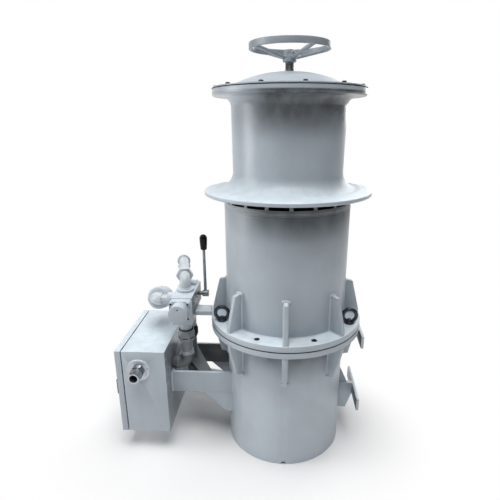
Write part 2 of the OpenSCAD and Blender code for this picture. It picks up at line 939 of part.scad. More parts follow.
module cabinet() {
    color(paint) difference() {
        block([shell_x, cab_y, cab_z], [-cab_x, cab_rear, cab_top]);
        block([shell_x + cab_wall, cab_y + cab_wall, cab_z + cab_wall],
            [-cab_x - cab_wall, cab_rear - cab_wall, cab_top - cab_wall]);
        block([shell_x - over, cab_y + cab_lip, cab_z + cab_lip],
            [shell_x + cab_wall + over, cab_rear - cab_lip, cab_top - cab_lip]);
        translate([air_x, cab_y + cab_wall + over, air_z]) rotate([90, 0, 0])
            cylinder(r = pipe_r, h = cab_wall + 2 * over);
        translate([-cab_x - cab_wall - over, supply_y, supply_z]) rotate([0, 90, 0])
            cylinder(r = pipe_r, h = cab_wall + 2 * over);
    }
}

module cabinet_door() {
    color(paint) {
        difference() {
            block([door_x, cab_y, cab_z], [door_x + door_t, cab_rear, cab_top]);
            block([door_x + door_wall, cab_y + door_wall, cab_z + door_wall],
                [door_x + door_t + over, cab_rear - door_wall, cab_top - door_wall]);
            translate([door_x - over, latch_y, latch_z]) rotate([0, 90, 0])
                cylinder(d = latch_d + 2 * running, h = door_wall + 2 * over);
        }
        for (z = hinge_zs) translate([0, 0, z + hinge_l / knuckles]) door_knuckle();
    }
}

// The middle knuckle of a hinge, which the door carries
module door_knuckle() {
    h = hinge_l / knuckles;
    difference() {
        union() {
            translate([hinge_x, hinge_y, knuckle_play]) cylinder(d = hinge_d, h = h - 2 * knuckle_play);
            block([door_x + door_wall, cab_rear, knuckle_play],
                [hinge_x, cab_rear + door_wall, h - knuckle_play]);
        }
        translate([hinge_x, hinge_y, -over]) cylinder(r = hinge_pin_d / 2 + running, h = h + 2 * over);
    }
}

// The two outer knuckles, the pins and the leaves on the cabinet
module door_hinges() {
    h = hinge_l / knuckles;
    color(steel) for (z = hinge_zs) translate([0, 0, z]) {
        for (low = [0, 2 * h]) {
            translate([hinge_x, hinge_y, low]) cylinder(d = hinge_d, h = h);
            block([hinge_x, cab_rear, low], [shell_x + leaf_l, cab_rear + door_wall, low + h]);
        }
        translate([hinge_x, hinge_y, 0]) cylinder(d = hinge_pin_d, h = hinge_l);
    }
}

module door_seal() {
    inset = 5;
    color(black) difference() {
        block([door_x + door_t, cab_y + inset, cab_z + inset],
            [door_x + door_t + seal_t, cab_rear - inset, cab_top - inset]);
        block([door_x + door_t - over, cab_y + cab_lip, cab_z + cab_lip],
            [door_x + door_t + seal_t + over, cab_rear - cab_lip, cab_top - cab_lip]);
    }
}

module door_latch() {
    disc_t = 5;
    handle_t = 14;
    tail = 8;
    color(black) translate([door_x, latch_y, latch_z]) {
        rotate([0, 90, 0]) cylinder(d = latch_d, h = door_wall + tail);
        rotate([0, -90, 0]) cylinder(d = latch_d * 2, h = disc_t);
        block([-disc_t - handle_t, -latch_w / 2, -latch_l / 2], [-disc_t, latch_w / 2, latch_l / 2]);
    }
}

// One air unit: a head in the pipe line with a bowl under it
module air_unit(front) {
    middle = front + air_head_l / 2;
    drain_h = 8;
    difference() {
        union() {
            block([air_x - air_head_w / 2, front, air_z - air_head_h / 2],
                [air_x + air_head_w / 2, front + air_head_l, air_z + air_head_h / 2]);
            translate([air_x, middle, air_under - bowl_h]) cylinder(d = bowl_d, h = bowl_h + over);
            translate([air_x, middle, air_under - bowl_h - drain_h])
                cylinder(d = bowl_d * 0.4, h = drain_h + over);
            block([air_x, middle - bracket_w / 2, air_under - bracket_drop],
                [-cab_x - cab_wall, middle + bracket_w / 2, air_under - bracket_drop + bracket_t]);
        }
        translate([air_x, front - over, air_z]) rotate([-90, 0, 0])
            cylinder(r = pipe_in, h = air_head_l + 2 * over);
    }
}

module filter_regulator() {
    color(steel) {
        air_unit(air_front);
        translate([air_x, air_front + air_head_l / 2, air_z + air_head_h / 2])
            cylinder(d = knob_d, h = knob_h);
    }
}

module lubricator() {
    color(steel) {
        air_unit(lub_front);
        translate([air_x, lub_front + air_head_l / 2, air_z + air_head_h / 2])
            cylinder(d = sight_d, h = sight_h);
    }
}

// The pipes inside the cabinet: between the two units, and round to the outlet in the inner side
module cabinet_pipe() {
    color(steel) {
        pipe_straight([air_x, air_front + air_head_l, air_z], [air_x, lub_front, air_z], pipe_r, pipe_in);
        pipe_run([
            [air_x, lub_front + air_head_l, air_z],
            [air_x, turn_y, air_z],
            [drop_x, turn_y, air_z]
        ], elbow_r, pipe_r, pipe_in, pipe_r, false);
        translate([drop_x, turn_y, air_z]) rotate([drop_turn, 0, 0]) pipe_run([
            [0, 0, 0],
            [turn_x - drop_x, 0, 0],
            [turn_x - drop_x, -drop_run, 0],
            [-cab_x - drop_x, -drop_run, 0]
        ], elbow_r, pipe_r, joint_in, pipe_r, false);
        translate([drop_x - coupling_l / 2, turn_y, air_z]) rotate([0, 90, 0])
            tube(pipe_r + coupling_t, pipe_r - coupling_t / 2, coupling_l);
    }
}

// The inlet: a boss on the cabinet, a hexagon, and a threaded mouth that a hose screws into
module inlet_fitting() {
    inside = air_front - cab_y;
    through_r = inlet_bore_r - 2;
    color(paint) translate([air_x, cab_y, air_z]) rotate([90, 0, 0]) difference() {
        union() {
            cylinder(d = inlet_boss_d, h = inlet_boss_t);
            translate([0, 0, inlet_boss_t]) hexagon(inlet_hex, inlet_hex_l);
            translate([0, 0, -inside]) cylinder(r = pipe_r, h = inside + inlet_l);
        }
        translate([0, 0, -inside - over]) cylinder(r = through_r, h = inside + inlet_l);
        translate([0, 0, inlet_l - inlet_thread_l]) cylinder(r = inlet_bore_r, h = inlet_thread_l + over);
    }
}

// Valve

module valve_bar() {
    front = 2;
    color(paint) difference() {
        block([-valve_x + foot_w / 2, -bar_w - front, valve_bottom - bar_t], [0, -front, valve_bottom]);
        translate([0, 0, valve_bottom - bar_t - over]) cylinder(r = flange_r, h = bar_t + 2 * over);
    }
}

// The valve block with its foot, its ports, its spool bore and the chamber of the crank
module valve_body() {
    top_pad = [60, 44, 6];
    rear_wall = 10;
    room_l = 40;
    room_under = 9;
    room_over = 16;
    color(paint) difference() {
        union() {
            block([valve_left, block_front, valve_bottom], [valve_right, valve_rear, valve_top]);
            block([-valve_x - foot_w / 2, block_front, foot_z],
                [-valve_x + foot_w / 2, foot_rear, valve_bottom + over]);
            translate([-valve_x - top_pad.x / 2, valve_rear - top_pad.y, valve_top - over])
                cube(top_pad + [0, 0, over]);
            translate([port_x, top_port_y, valve_top - over]) cylinder(d = boss_d, h = boss_h + over);
            for (port = [[supply_y, supply_port_z], [return_y, return_port_z]])
                translate([port_x, port[0], port[1]])
                    cylinder(r = nipple_r, h = valve_bottom - port[1] + over);
            translate([exhaust_boss_x, exhaust_y, spool_z]) rotate([0, 90, 0])
                cylinder(d = exhaust_boss_d, h = exhaust_boss_l + over);
        }
        translate([-valve_x, valve_rear - rear_wall, spool_z]) rotate([90, 0, 0])
            cylinder(r = spool_r + running, h = valve_l + over);
        translate([port_x, top_port_y, spool_z]) cylinder(r = pipe_in, h = valve_h);
        for (port = [[supply_y, supply_port_z], [return_y, return_port_z]])
            translate([port_x, port[0], port[1] - over]) cylinder(r = pipe_in, h = spool_z - port[1] + over);
        translate([exhaust_boss_x - over, exhaust_y, spool_z]) rotate([0, 90, 0])
            cylinder(r = neck_in, h = -valve_x - exhaust_boss_x + over);
        block([-valve_x + pin_inset - over, lever_y - room_l / 2, pin_z - room_under],
            [crank_x + crank_t + 2 * over, lever_y + room_l / 2, lever_z + room_over]);
        translate([crank_x, lever_y, lever_z]) rotate([0, 90, 0])
            cylinder(r = lever_shaft_d / 2 + running, h = lever_out + valve_w);
    }
}

// A rectangle with round corners about the origin
module rounded_square(size, radius) {
    square([size.x - 2 * radius, size.y], center = true);
    square([size.x, size.y - 2 * radius], center = true);
    for (x = [-1, 1]) for (y = [-1, 1])
        translate([x * (size.x / 2 - radius), y * (size.y / 2 - radius)]) circle(r = radius);
}

module valve_end_cap() {
    corner = 11;
    edge = 4;
    bore_r = spool_r - 3;
    end_t = 6;
    vent_l = 12;
    color(paint) translate([-valve_x, block_front, spool_z]) rotate([90, 0, 0]) difference() {
        union() {
            linear_extrude(cap_flange_t) rounded_square([cap_flange_w, valve_h - edge], corner);
            cylinder(d = cap_d, h = cap_flange_t + cap_l);
        }
        translate([0, 0, -over]) cylinder(r = bore_r, h = cap_flange_t + cap_l - end_t);
        translate([0, vent_rise, cap_flange_t + cap_l - vent_l]) cylinder(d = vent_d, h = vent_l + over);
    }
}

// A socket screw whose head's foot stands on z = 0
module socket_screw(shank_d, shank_l, head_d, head_h) {
    difference() {
        union() {
            cylinder(d = head_d, h = head_h);
            translate([0, 0, -shank_l]) cylinder(d = shank_d, h = shank_l + over);
        }
        translate([0, 0, head_h / 2]) cylinder(d = head_d * 0.55, h = head_h, $fn = 6);
    }
}

// Four screws in the end cap and two plugs in the block's right side, which stand on its surface
module valve_screws() {
    reach = [31, 28.5];
    plug_d = 10;
    plug_h = 4;
    plug_rise = 2;
    plug_places = [-68, -9];
    color(black) for (x = [-1, 1]) for (z = [-1, 1])
        translate([-valve_x + x * reach[0], block_front - cap_flange_t, spool_z + z * reach[1]])
            rotate([90, 0, 0]) cap_screw();
    color(steel) for (y = plug_places)
        translate([valve_right, y, spool_z + plug_rise]) rotate([0, 90, 0]) cylinder(d = plug_d, h = plug_h);
}

module cap_screw() {
    head_d = 13;
    head_h = 8;
    difference() {
        cylinder(d = head_d, h = head_h);
        translate([0, 0, head_h / 2]) cylinder(d = head_d * 0.55, h = head_h, $fn = 6);
    }
}

module valve_spool() {
    land = 26;
    neck_r = spool_r - 6;
    slot_y = crank_pin_r * 2 + 1.2;
    slot_under = 2;
    slot_inset = 3;
    color(steel) difference() {
        translate([-valve_x, spool_front, spool_z]) rotate([-90, 0, 0]) difference() {
            cylinder(r = spool_r, h = spool_l);
            for (z = [land, 3 * land - 2])
                translate([0, 0, z]) tube(spool_r + over, neck_r, land);
        }
        block([-valve_x + slot_inset, lever_y - slot_y / 2, pin_z - crank_pin_r - slot_under],
            [-valve_x + spool_r + over, lever_y + slot_y / 2, spool_z + spool_r + over]);
    }
}

// The lever's shaft with the crank that moves the spool
module lever_shaft() {
    hub_l = 23;
    crank_w = 12;
    color(steel) translate([0, lever_y, lever_z]) {
        translate([crank_x, 0, 0]) rotate([0, 90, 0])
            cylinder(d = lever_shaft_d, h = valve_right + lever_out - crank_x);
        block([crank_x, -crank_w / 2, -crank_l - crank_pin_r - over], [crank_x + crank_t, crank_w / 2, 0]);
        translate([-valve_x + pin_inset, 0, -crank_l]) rotate([0, 90, 0])
            cylinder(r = crank_pin_r, h = crank_x + over + valve_x - pin_inset);
    }
    color(paint) translate([valve_right + lever_out - hub_l, lever_y, lever_z]) rotate([0, 90, 0])
        tube(lever_hub_r, lever_shaft_d / 2, hub_l);
}

module lever_rod() {
    color(steel) translate([rod_x, lever_y, lever_z]) difference() {
        cylinder(d = rod_d, h = lever_l - rod_depth);
        translate([-rod_d, 0, 0]) rotate([0, 90, 0]) cylinder(r = lever_hub_r, h = 2 * rod_d);
    }
}

module lever_grip() {
    thin = grip_d * 0.72;
    cap = grip_d / 2;
    color(black) translate([rod_x, lever_y, lever_tip - grip_l]) difference() {
        rotate_extrude() polygon(concat([
            [0, 0],
            [thin / 2 - 2, 0],
            [thin / 2, 2]
        ], arc([0, grip_l - cap], cap, 0, 90, 8)));
        translate([0, 0, -over]) cylinder(d = rod_d, h = grip_l - rod_depth + over);
    }
}

// Pipes

// Its children on the line that the top elbow takes, which is the local Y axis
module on_top_line() {
    translate([port_x, top_port_y, 0]) rotate([0, 0, top_turn]) children();
}

// Its children on the riser's lower leg, which is the local X axis and slants towards the casing
module on_riser_line() {
    translate([riser_x, riser_y, 0]) rotate([0, 0, riser_turn]) children();
}

// Its children on the exhaust line, which slopes down towards the back
module on_exhaust_line() {
    translate([exhaust_x, exhaust_y, spool_z]) rotate([-silencer_tilt, 0, 0]) children();
}

module top_elbow() {
    ring_h = 4;
    color(paint) on_top_line() {
        pipe_run([
            [0, union_start, top_axis_z],
            [0, 0, top_axis_z],
            [0, 0, valve_top + boss_h]
        ], elbow_r, pipe_r, pipe_in, pipe_r, false);
        translate([0, 0, valve_top + boss_h]) tube(elbow_out, pipe_r, ring_h);
    }
}

module riser_pipe() {
    color(paint) {
        on_top_line() pipe_run([
            [0, union_start, top_axis_z],
            [0, top_run, top_axis_z],
            [0, top_run, riser_joint_z]
        ], elbow_r, pipe_r, pipe_in, elbow_out);
        on_riser_line() pipe_run([
            [0, 0, riser_joint_z],
            [0, 0, riser_z],
            [riser_reach, 0, riser_z]
        ], elbow_r, pipe_r, joint_in, elbow_out);
    }
}

module supply_pipe() {
    color(paint) pipe_run([
        [port_x, supply_y, supply_port_z],
        [port_x, supply_y, supply_z],
        [-cab_x, supply_y, supply_z]
    ], elbow_r, pipe_r, pipe_in, elbow_out);
}

module return_pipe() {
    color(paint) pipe_run([
        [port_x, return_y, return_port_z],
        [port_x, return_y, return_z],
        [chest_port_x, return_y, return_z]
    ], elbow_r, pipe_r, pipe_in, elbow_out);
}

// One union round a pipe: a hexagon nut with a round sleeve on either side
module pipe_union(across, length) {
    step = 4;
    sleeve = across / 2 - step;
    difference() {
        union() {
            cylinder(r = sleeve, h = length);
            translate([0, 0, (length - union_h) / 2]) hexagon(across, union_h);
        }
        translate([0, 0, -over]) cylinder(r = pipe_r, h = length + 2 * over);
    }
}

module union_nuts() {
    color(paint) {
        translate([port_x, supply_y, supply_port_z - union_l]) pipe_union(union_d, union_l);
        on_top_line() translate([0, union_start, top_axis_z]) rotate([-90, 0, 0]) difference() {
            hexagon(union_d, top_union_l);
            translate([0, 0, -over]) cylinder(r = pipe_r, h = top_union_l + 2 * over);
        }
    }
    color(black) translate([port_x, return_y, return_port_z - union_l]) pipe_union(black_union_d, union_l);
}

module silencer_elbow() {
    color(paint) on_exhaust_line() pipe_run([
        [exhaust_boss_x - exhaust_x, 0, 0],
        [0, 0, 0],
        [0, silencer_gap, 0]
    ], elbow_r, neck_r, neck_in, elbow_out, false);
}

// The silencer: a can with round edges, its inlet bore and a ring of outlets at the back
module silencer() {
    outlets = 12;
    outlet_d = 9;
    outlet_l = 30;
    outlet_inset = 22;
    end_t = 10;
    radius = silencer_d / 2;
    color(paint) on_exhaust_line() translate([0, silencer_gap, 0]) rotate([-90, 0, 0]) difference() {
        rotate_extrude() polygon(concat(
            [[0, 0]],
            arc([radius - silencer_edge, silencer_edge], silencer_edge, -90, 0, 6),
            arc([radius - silencer_edge, silencer_l - silencer_edge], silencer_edge, 0, 90, 6),
            [[0, silencer_l]]
        ));
        translate([0, 0, -over]) cylinder(r = neck_in, h = silencer_l - end_t);
        around(outlets, radius - outlet_inset)
            translate([0, 0, silencer_l - outlet_l]) cylinder(d = outlet_d, h = outlet_l + over);
    }
}

// Drive

module motor_plate() {
    shaft_gap = 8;
    color(paint) translate([0, 0, motor_plate_z])
        tube(casing_in, sun_shaft_r + shaft_gap, motor_plate_t);
}

module motor_case() {
    rim_w = 25;
    port_l = 60;
    color(paint) difference() {
        union() {
            translate([0, 0, motor_top - motor_flange_t]) cylinder(r = motor_r + rim_w, h = motor_flange_t);
            translate([0, 0, crankcase_z]) cylinder(r = motor_r, h = crankcase_h + over);
            translate([0, 0, chest_z]) cylinder(r = chest_r, h = chest_h);
            block([chest_port_x, return_y - chest_port / 2, return_z - chest_port / 2],
                [0, return_y + chest_port / 2, return_z + chest_port / 2]);
            on_riser_line() block([riser_reach, -chest_port / 2, riser_z - chest_port / 2],
                [riser_reach + port_l, chest_port / 2, riser_z + chest_port / 2]);
        }
        translate([0, 0, motor_top - motor_bore_depth])
            cylinder(r = sun_shaft_r + running, h = motor_bore_depth + over);
    }
}

module motor_cylinders() {
    fins = 4;
    fin_depth = 8;
    fin_t = 7;
    fin_pitch = 17;
    first_fin = 14;
    rise = 95;
    core_r = cylinder_d / 2 - fin_depth;
    color(paint) difference() {
        around(cylinders, 0, 180 / cylinders) translate([0, 0, crankcase_z + rise]) rotate([0, 90, 0]) {
            cylinder(r = core_r, h = motor_r + cylinder_l);
            for (i = [0 : fins - 1])
                translate([0, 0, motor_r + first_fin + i * fin_pitch]) cylinder(d = cylinder_d, h = fin_t);
        }
        translate([0, 0, crankcase_z]) cylinder(r = motor_r, h = crankcase_h);
    }
}

// The angle, in degrees, that an involute has turned at radius r
function involute(r, base) = r > base ? tan(acos(base / r)) * 180 / PI - acos(base / r) : 0;

// Half the angle that a tooth spans at radius r
function half_tooth(r, pitch, teeth, play) =
    let (base = pitch * cos(pressure_angle))
    90 / teeth - play / pitch * 180 / PI + involute(pitch, base) - involute(r, base);

function polar(r, a) = [r * cos(a), r * sin(a)];

// The outline of a gear with its first tooth on the X axis
module gear_outline(teeth, root, tip, play) {
    pitch = gear_module * teeth / 2;
    steps = 5;
    radii = [for (i = [0 : steps]) root + (tip - root) * i / steps];
    halves = [for (r = radii) half_tooth(r, pitch, teeth, play)];
    polygon([for (t = [0 : teeth - 1]) each concat(
        [for (i = [0 : steps]) polar(radii[i], t * 360 / teeth - halves[i])],
        [for (i = [steps : -1 : 0]) polar(radii[i], t * 360 / teeth + halves[i])]
    )]);
}

module small_gear(teeth, pitch, bore) {
    linear_extrude(planet_h) difference() {
        gear_outline(teeth, pitch - root_depth, pitch + gear_module, gear_play / 4);
        if (bore > 0) circle(r = bore);
    }
}

module sun_shaft() {
    foot = motor_top - motor_bore_depth;
    color(steel) {
        translate([0, 0, foot]) cylinder(r = sun_shaft_r, h = gear_z - foot + over);
        translate([0, 0, gear_z]) small_gear(sun_teeth, sun_pitch_r, 0);
    }
}

module ring_gear() {
    color(steel) translate([0, 0, ring_gear_z]) linear_extrude(gear_h) difference() {
        circle(r = casing_in);
        rotate(180 / ring_teeth)
            gear_outline(ring_teeth, ring_pitch_r - gear_module, ring_pitch_r + root_depth,
                -gear_play / 4);
    }
}

module planet_gear(index) {
    color(steel) rotate([0, 0, index * 360 / planets]) translate([planet_orbit, 0, gear_z])
        rotate([0, 0, 180 / planet_teeth]) small_gear(planet_teeth, planet_pitch_r, pin_r + running);
}

module planet_gear_1() {
    planet_gear(0);
}

module planet_gear_2() {
    planet_gear(1);
}

module planet_gear_3() {
    planet_gear(2);
}

// The carrier with its pins, and the main shaft that carries the drum
module planet_carrier() {
    edge = 14;
    color(steel) {
        translate([0, 0, carrier_z]) cylinder(r = planet_orbit + pin_r + edge, h = carrier_t);
        around(planets, planet_orbit) translate([0, 0, gear_z])
            cylinder(r = pin_r, h = carrier_z - gear_z + over);
        translate([0, 0, carrier_z]) cylinder(r = shaft_r, h = clutch_top - carrier_z);
        translate([0, 0, bearing_seat_z]) cylinder(r = collar_r, h = hub_z - bearing_seat_z);
    }
}

// Drum

// The drum's section: the barrel with its two flanges, the hub, the web and the ledge of the clutch
module drum_section() {
    low = barrel_low_d / 2;
    top = barrel_top_d / 2;
    head_low = drum_top - drum_head_t;
    ledge_in = shaft_r + 60;
    polygon(concat(
        [[bore_r, drum_z]],
        arc([drum_foot_r - foot_round, drum_z + foot_round], foot_round, -90, 75, 8),
        arc([low + flare_r, flare_z + flare_r], flare_r, 270, 180, 12),
        arc([top + head_fillet_r, head_low - head_fillet_r], head_fillet_r, 180, 90, 8),
        arc([drum_head_r - head_round_r, head_low + head_round_r], head_round_r, -90, 0, 5),
        [[drum_head_r, drum_top], [bore_r, drum_top]]
    ));
    translate([bush_r, hub_z]) square([hub_wall, hub_h]);
    translate([bush_r + over, web_z]) square([bore_r - bush_r, web_t]);
    translate([ledge_in, ledge_z]) square([bore_r - ledge_in + over, ledge_t]);
}

module drum() {
    color(paint) difference() {
        rotate_extrude() drum_section();
        around(cover_screws_n, cover_screw_circle / 2, screw_turn)
            translate([0, 0, drum_top - screw_depth]) cylinder(d = cover_screw_d, h = screw_depth + over);
    }
}

module drum_bushes() {
    color(bronze) for (z = [hub_z, hub_z + hub_h - bush_h])
        translate([0, 0, z]) tube(bush_r, shaft_r, bush_h);
}

module clutch_plate() {
    color(steel) translate([0, 0, clutch_z]) tube(clutch_d / 2, shaft_r, clutch_t);
}

module pressure_plate() {
    edge = 5;
    color(steel) {
        translate([0, 0, pressure_z]) cylinder(r = clutch_d / 2 + edge, h = pressure_t);
        translate([0, 0, pressure_z]) cylinder(r = thrust_r, h = thrust_z - pressure_z);
    }
}

// Cover and handwheel

module drum_cover() {
    cap_r = (pow(dome_r, 2) + pow(dome_h, 2)) / (2 * dome_h);
    color(paint) difference() {
        union() {
            translate([0, 0, cover_z]) tube(cover_r, dome_r - cover_t, cover_t);
            rotate_extrude() intersection() {
                translate([0, crown_z - cap_r]) difference() {
                    circle(r = cap_r, $fn = 180);
                    circle(r = cap_r - cover_t, $fn = 180);
                }
                translate([0, cover_z]) square([dome_r, dome_h + 2 * cover_t]);
            }
            translate([0, 0, crown_z - boss_low]) cylinder(r = spindle_r + boss_wall, h = boss_low);
        }
        translate([0, 0, crown_z - boss_low - over])
            cylinder(r = spindle_r + running, h = boss_low + 3 * over);
        around(cover_screws_n, cover_screw_circle / 2, screw_turn)
            translate([0, 0, cover_z - over]) cylinder(d = cover_hole_d, h = cover_t + 2 * over);
    }
}

module cover_gasket() {
    color(black) translate([0, 0, drum_top]) difference() {
        tube(cover_r, bore_r, cover_gasket_t);
        around(cover_screws_n, cover_screw_circle / 2, screw_turn)
            translate([0, 0, -over]) cylinder(d = cover_hole_d, h = cover_gasket_t + 2 * over);
    }
}

module cover_screws() {
    shank = lip_top - drum_top + screw_depth;
    color(black) around(cover_screws_n, cover_screw_circle / 2, screw_turn) translate([0, 0, lip_top])
        socket_screw(cover_screw_d, shank, cover_screw_head_d, cover_screw_head_h);
}

// The spindle with its ringed thread, and the nut that holds the handwheel
module spindle() {
    first_ring = 3;
    thread_low = crown_z + first_ring;
    rings = floor((wheel_hub_z - thread_low) / spindle_lead);
    color(steel) difference() {
        union() {
            translate([0, 0, thrust_z]) cylinder(r = spindle_r, h = wheel_hub_z - thrust_z);
            translate([0, 0, wheel_hub_z]) cylinder(r = spindle_top_r, h = spindle_top - wheel_hub_z);
        }
        for (i = [0 : rings - 1])
            translate([0, 0, thread_low + i * spindle_lead])
                tube(spindle_r + over, spindle_r - thread_depth, spindle_lead / 2);
    }
    color(steel) translate([0, 0, wheel_nut_z]) difference() {
        hexagon(wheel_nut_d, wheel_nut_h);
        translate([0, 0, -over]) cylinder(r = spindle_top_r, h = wheel_nut_h + 2 * over);
    }
}

module handwheel() {
    hub_mid = wheel_hub_z + wheel_hub_h / 2;
    rim_mid = rim_z + rim_h / 2;
    reach = wheel_r - rim_t;
    rise = atan2(rim_mid - hub_mid, reach - wheel_hub_r);
    slope = (rim_mid - hub_mid) / (reach - wheel_hub_r);
    color(paint) {
        translate([0, 0, rim_z]) tube(wheel_r, wheel_r - rim_t, rim_h);
        translate([0, 0, wheel_hub_z]) tube(wheel_hub_r, spindle_top_r, wheel_hub_h);
        intersection() {
            around(spokes, 0, spoke_turn)
                translate([0, 0, hub_mid - slope * wheel_hub_r]) rotate([0, -rise, 0])
                    block([0, -spoke_w / 2, -spoke_t / 2], [wheel_r, spoke_w / 2, spoke_t / 2]);
            translate([0, 0, wheel_hub_z]) tube(wheel_r - rim_t / 2, wheel_hub_r - 2, wheel_rise);
        }
    }
}

lower_casing();
lower_flange();
flange_gasket();
upper_flange();
upper_casing();
gussets();
eye_bolts();
flange_bolts();
head_plate();
slotted_ring();
main_bearings();
side_pads();
pad_arm();
front_arm();
rear_arm();
cabinet_rail();
arm_braces();
bay_plate();
cabinet();
cabinet_door();
door_seal();
door_hinges();
door_latch();
filter_regulator();
lubricator();
cabinet_pipe();
inlet_fitting();
valve_bar();
valve_body();
valve_end_cap();
valve_screws();
valve_spool();
lever_shaft();
lever_rod();
lever_grip();
silencer();
silencer_elbow();
top_elbow();
union_nuts();
riser_pipe();
supply_pipe();
return_pipe();
motor_plate();
motor_case();
motor_cylinders();
sun_shaft();
ring_gear();
planet_gear_1();
planet_gear_2();
planet_gear_3();
planet_carrier();
drum();
drum_bushes();
clutch_plate();
pressure_plate();
drum_cover();
cover_gasket();
cover_screws();
spindle();
handwheel();
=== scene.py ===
# %% [markdown]
# # An air winch
# The object is an upright capstan: a waisted drum with a domed cover and a handwheel, on a stand of two
# flanged tubes. A cabinet with the air inlet, a hand valve, a silencer and the air pipes stand on its left.
# The winch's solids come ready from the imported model. This file gives them their looks: rounded edges,
# weld beads, screws, paint, steel and rubber, and the studio in which they are seen.

import json
import math

import bmesh
import bpy
from mathutils import Matrix, Vector


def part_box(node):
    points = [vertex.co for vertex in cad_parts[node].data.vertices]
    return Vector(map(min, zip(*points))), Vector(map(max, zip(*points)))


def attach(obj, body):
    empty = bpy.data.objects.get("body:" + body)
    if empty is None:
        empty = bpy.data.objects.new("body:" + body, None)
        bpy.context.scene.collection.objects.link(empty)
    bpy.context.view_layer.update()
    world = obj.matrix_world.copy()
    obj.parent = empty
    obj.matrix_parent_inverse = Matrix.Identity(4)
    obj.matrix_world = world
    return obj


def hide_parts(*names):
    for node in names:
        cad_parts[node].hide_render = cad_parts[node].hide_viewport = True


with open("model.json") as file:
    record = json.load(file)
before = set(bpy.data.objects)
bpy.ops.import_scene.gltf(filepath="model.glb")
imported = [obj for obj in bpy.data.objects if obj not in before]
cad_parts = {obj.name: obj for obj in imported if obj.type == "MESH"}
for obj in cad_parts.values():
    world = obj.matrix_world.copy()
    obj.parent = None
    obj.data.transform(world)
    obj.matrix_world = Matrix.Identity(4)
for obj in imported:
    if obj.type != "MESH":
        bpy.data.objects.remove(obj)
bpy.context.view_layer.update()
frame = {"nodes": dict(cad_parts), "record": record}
MM = 0.001
bodies = frame["record"]["behaviour"]["bodies"]
body_of = {node: body for body, nodes in bodies.items() for node in nodes}
print("nodes:", len(frame["nodes"]), "bodies:", len(bodies))

# %% [markdown]
# The camera stands where the photograph was taken: a little left of the middle, slightly below the drum's
# head, looking down. Its place was found from the ellipses of the flanges and the edges of the cabinet.

# %% The camera
EYE = (-0.02163, -1.53559, 1.25412)
LOOK_DOWN, LOOK_ASIDE = 0.3109, 0.0458
SENSOR = 36.0
PIXELS, FOCAL, SHIFT_X, SHIFT_Y = 500, 421.03, -12, 8    # the photograph's width, and what was found in it
camera_data = bpy.data.cameras.new("camera")
camera_data.sensor_width = SENSOR
camera_data.lens = FOCAL / PIXELS * SENSOR
camera_data.shift_x = SHIFT_X / PIXELS
camera_data.shift_y = SHIFT_Y / PIXELS
camera = bpy.data.objects.new("camera", camera_data)
camera.location = EYE
camera.rotation_euler = (math.pi / 2 - LOOK_DOWN, 0, LOOK_ASIDE)
bpy.context.scene.collection.objects.link(camera)
bpy.context.scene.camera = camera
print("camera lens", round(camera_data.lens, 2), "mm")

# %% [markdown]
# A finish, a way of repeating a piece and the studio's sky are all trees of nodes, and each is written here
# as a small sum. Every output socket is wrapped, so that `a * 0.5 + b` adds the Math nodes by itself, and
# any other node comes from one method.

# %% Node trees as sums
class Wire:
    """An output socket of a node tree that can be added, multiplied and so on."""

    def __init__(self, tree, socket):
        self.tree = tree
        self.socket = socket

    def _with(self, operation, first, second=0.0):
        return self.tree.node("ShaderNodeMath", {"operation": operation}, {0: first, 1: second})

    def __add__(self, other):
        return self._with("ADD", self, other)

    def __sub__(self, other):
        return self._with("SUBTRACT", self, other)

    def __rsub__(self, other):
        return self._with("SUBTRACT", other, self)

    def __mul__(self, other):
        return self._with("MULTIPLY", self, other)

    def __truediv__(self, other):
        return self._with("DIVIDE", self, other)

    def __rtruediv__(self, other):
        return self._with("DIVIDE", other, self)

    def sine(self):
        return self._with("SINE", self)

    def at_most(self, other):
        return self._with("MINIMUM", self, other)

    __radd__ = __add__
    __rmul__ = __mul__


class Tree:
    """A node tree while it is made."""

    def __init__(self, node_tree):
        self.nodes = node_tree.nodes
        self.links = node_tree.links

    def node(self, kind, settings, values, output=0):
        """Adds a node: its settings first, then the values or links of its sockets."""
        made = self.nodes.new(kind)
        for key, value in settings.items():
            setattr(made, key, value)
        for socket, value in values.items():
            self.feed(made.inputs[socket], value)
        return Wire(self, made.outputs[output])

    def feed(self, socket, value):
        if isinstance(value, Wire):
            self.links.new(value.socket, socket)
        else:
            socket.default_value = value

    def ray(self, kind):
        """1 where the light path is of this kind, such as Camera or Glossy."""
        return self.node("ShaderNodeLightPath", {}, {}, "Is " + kind + " Ray")

    def band(self, value, low, high):
        """0 below low, 1 above high, and smooth between."""
        return self.node("ShaderNodeMapRange", {"interpolation_type": "SMOOTHSTEP"}, {
            "Value": value, "From Min": low, "From Max": high, "To Min": 0.0, "To Max": 1.0})


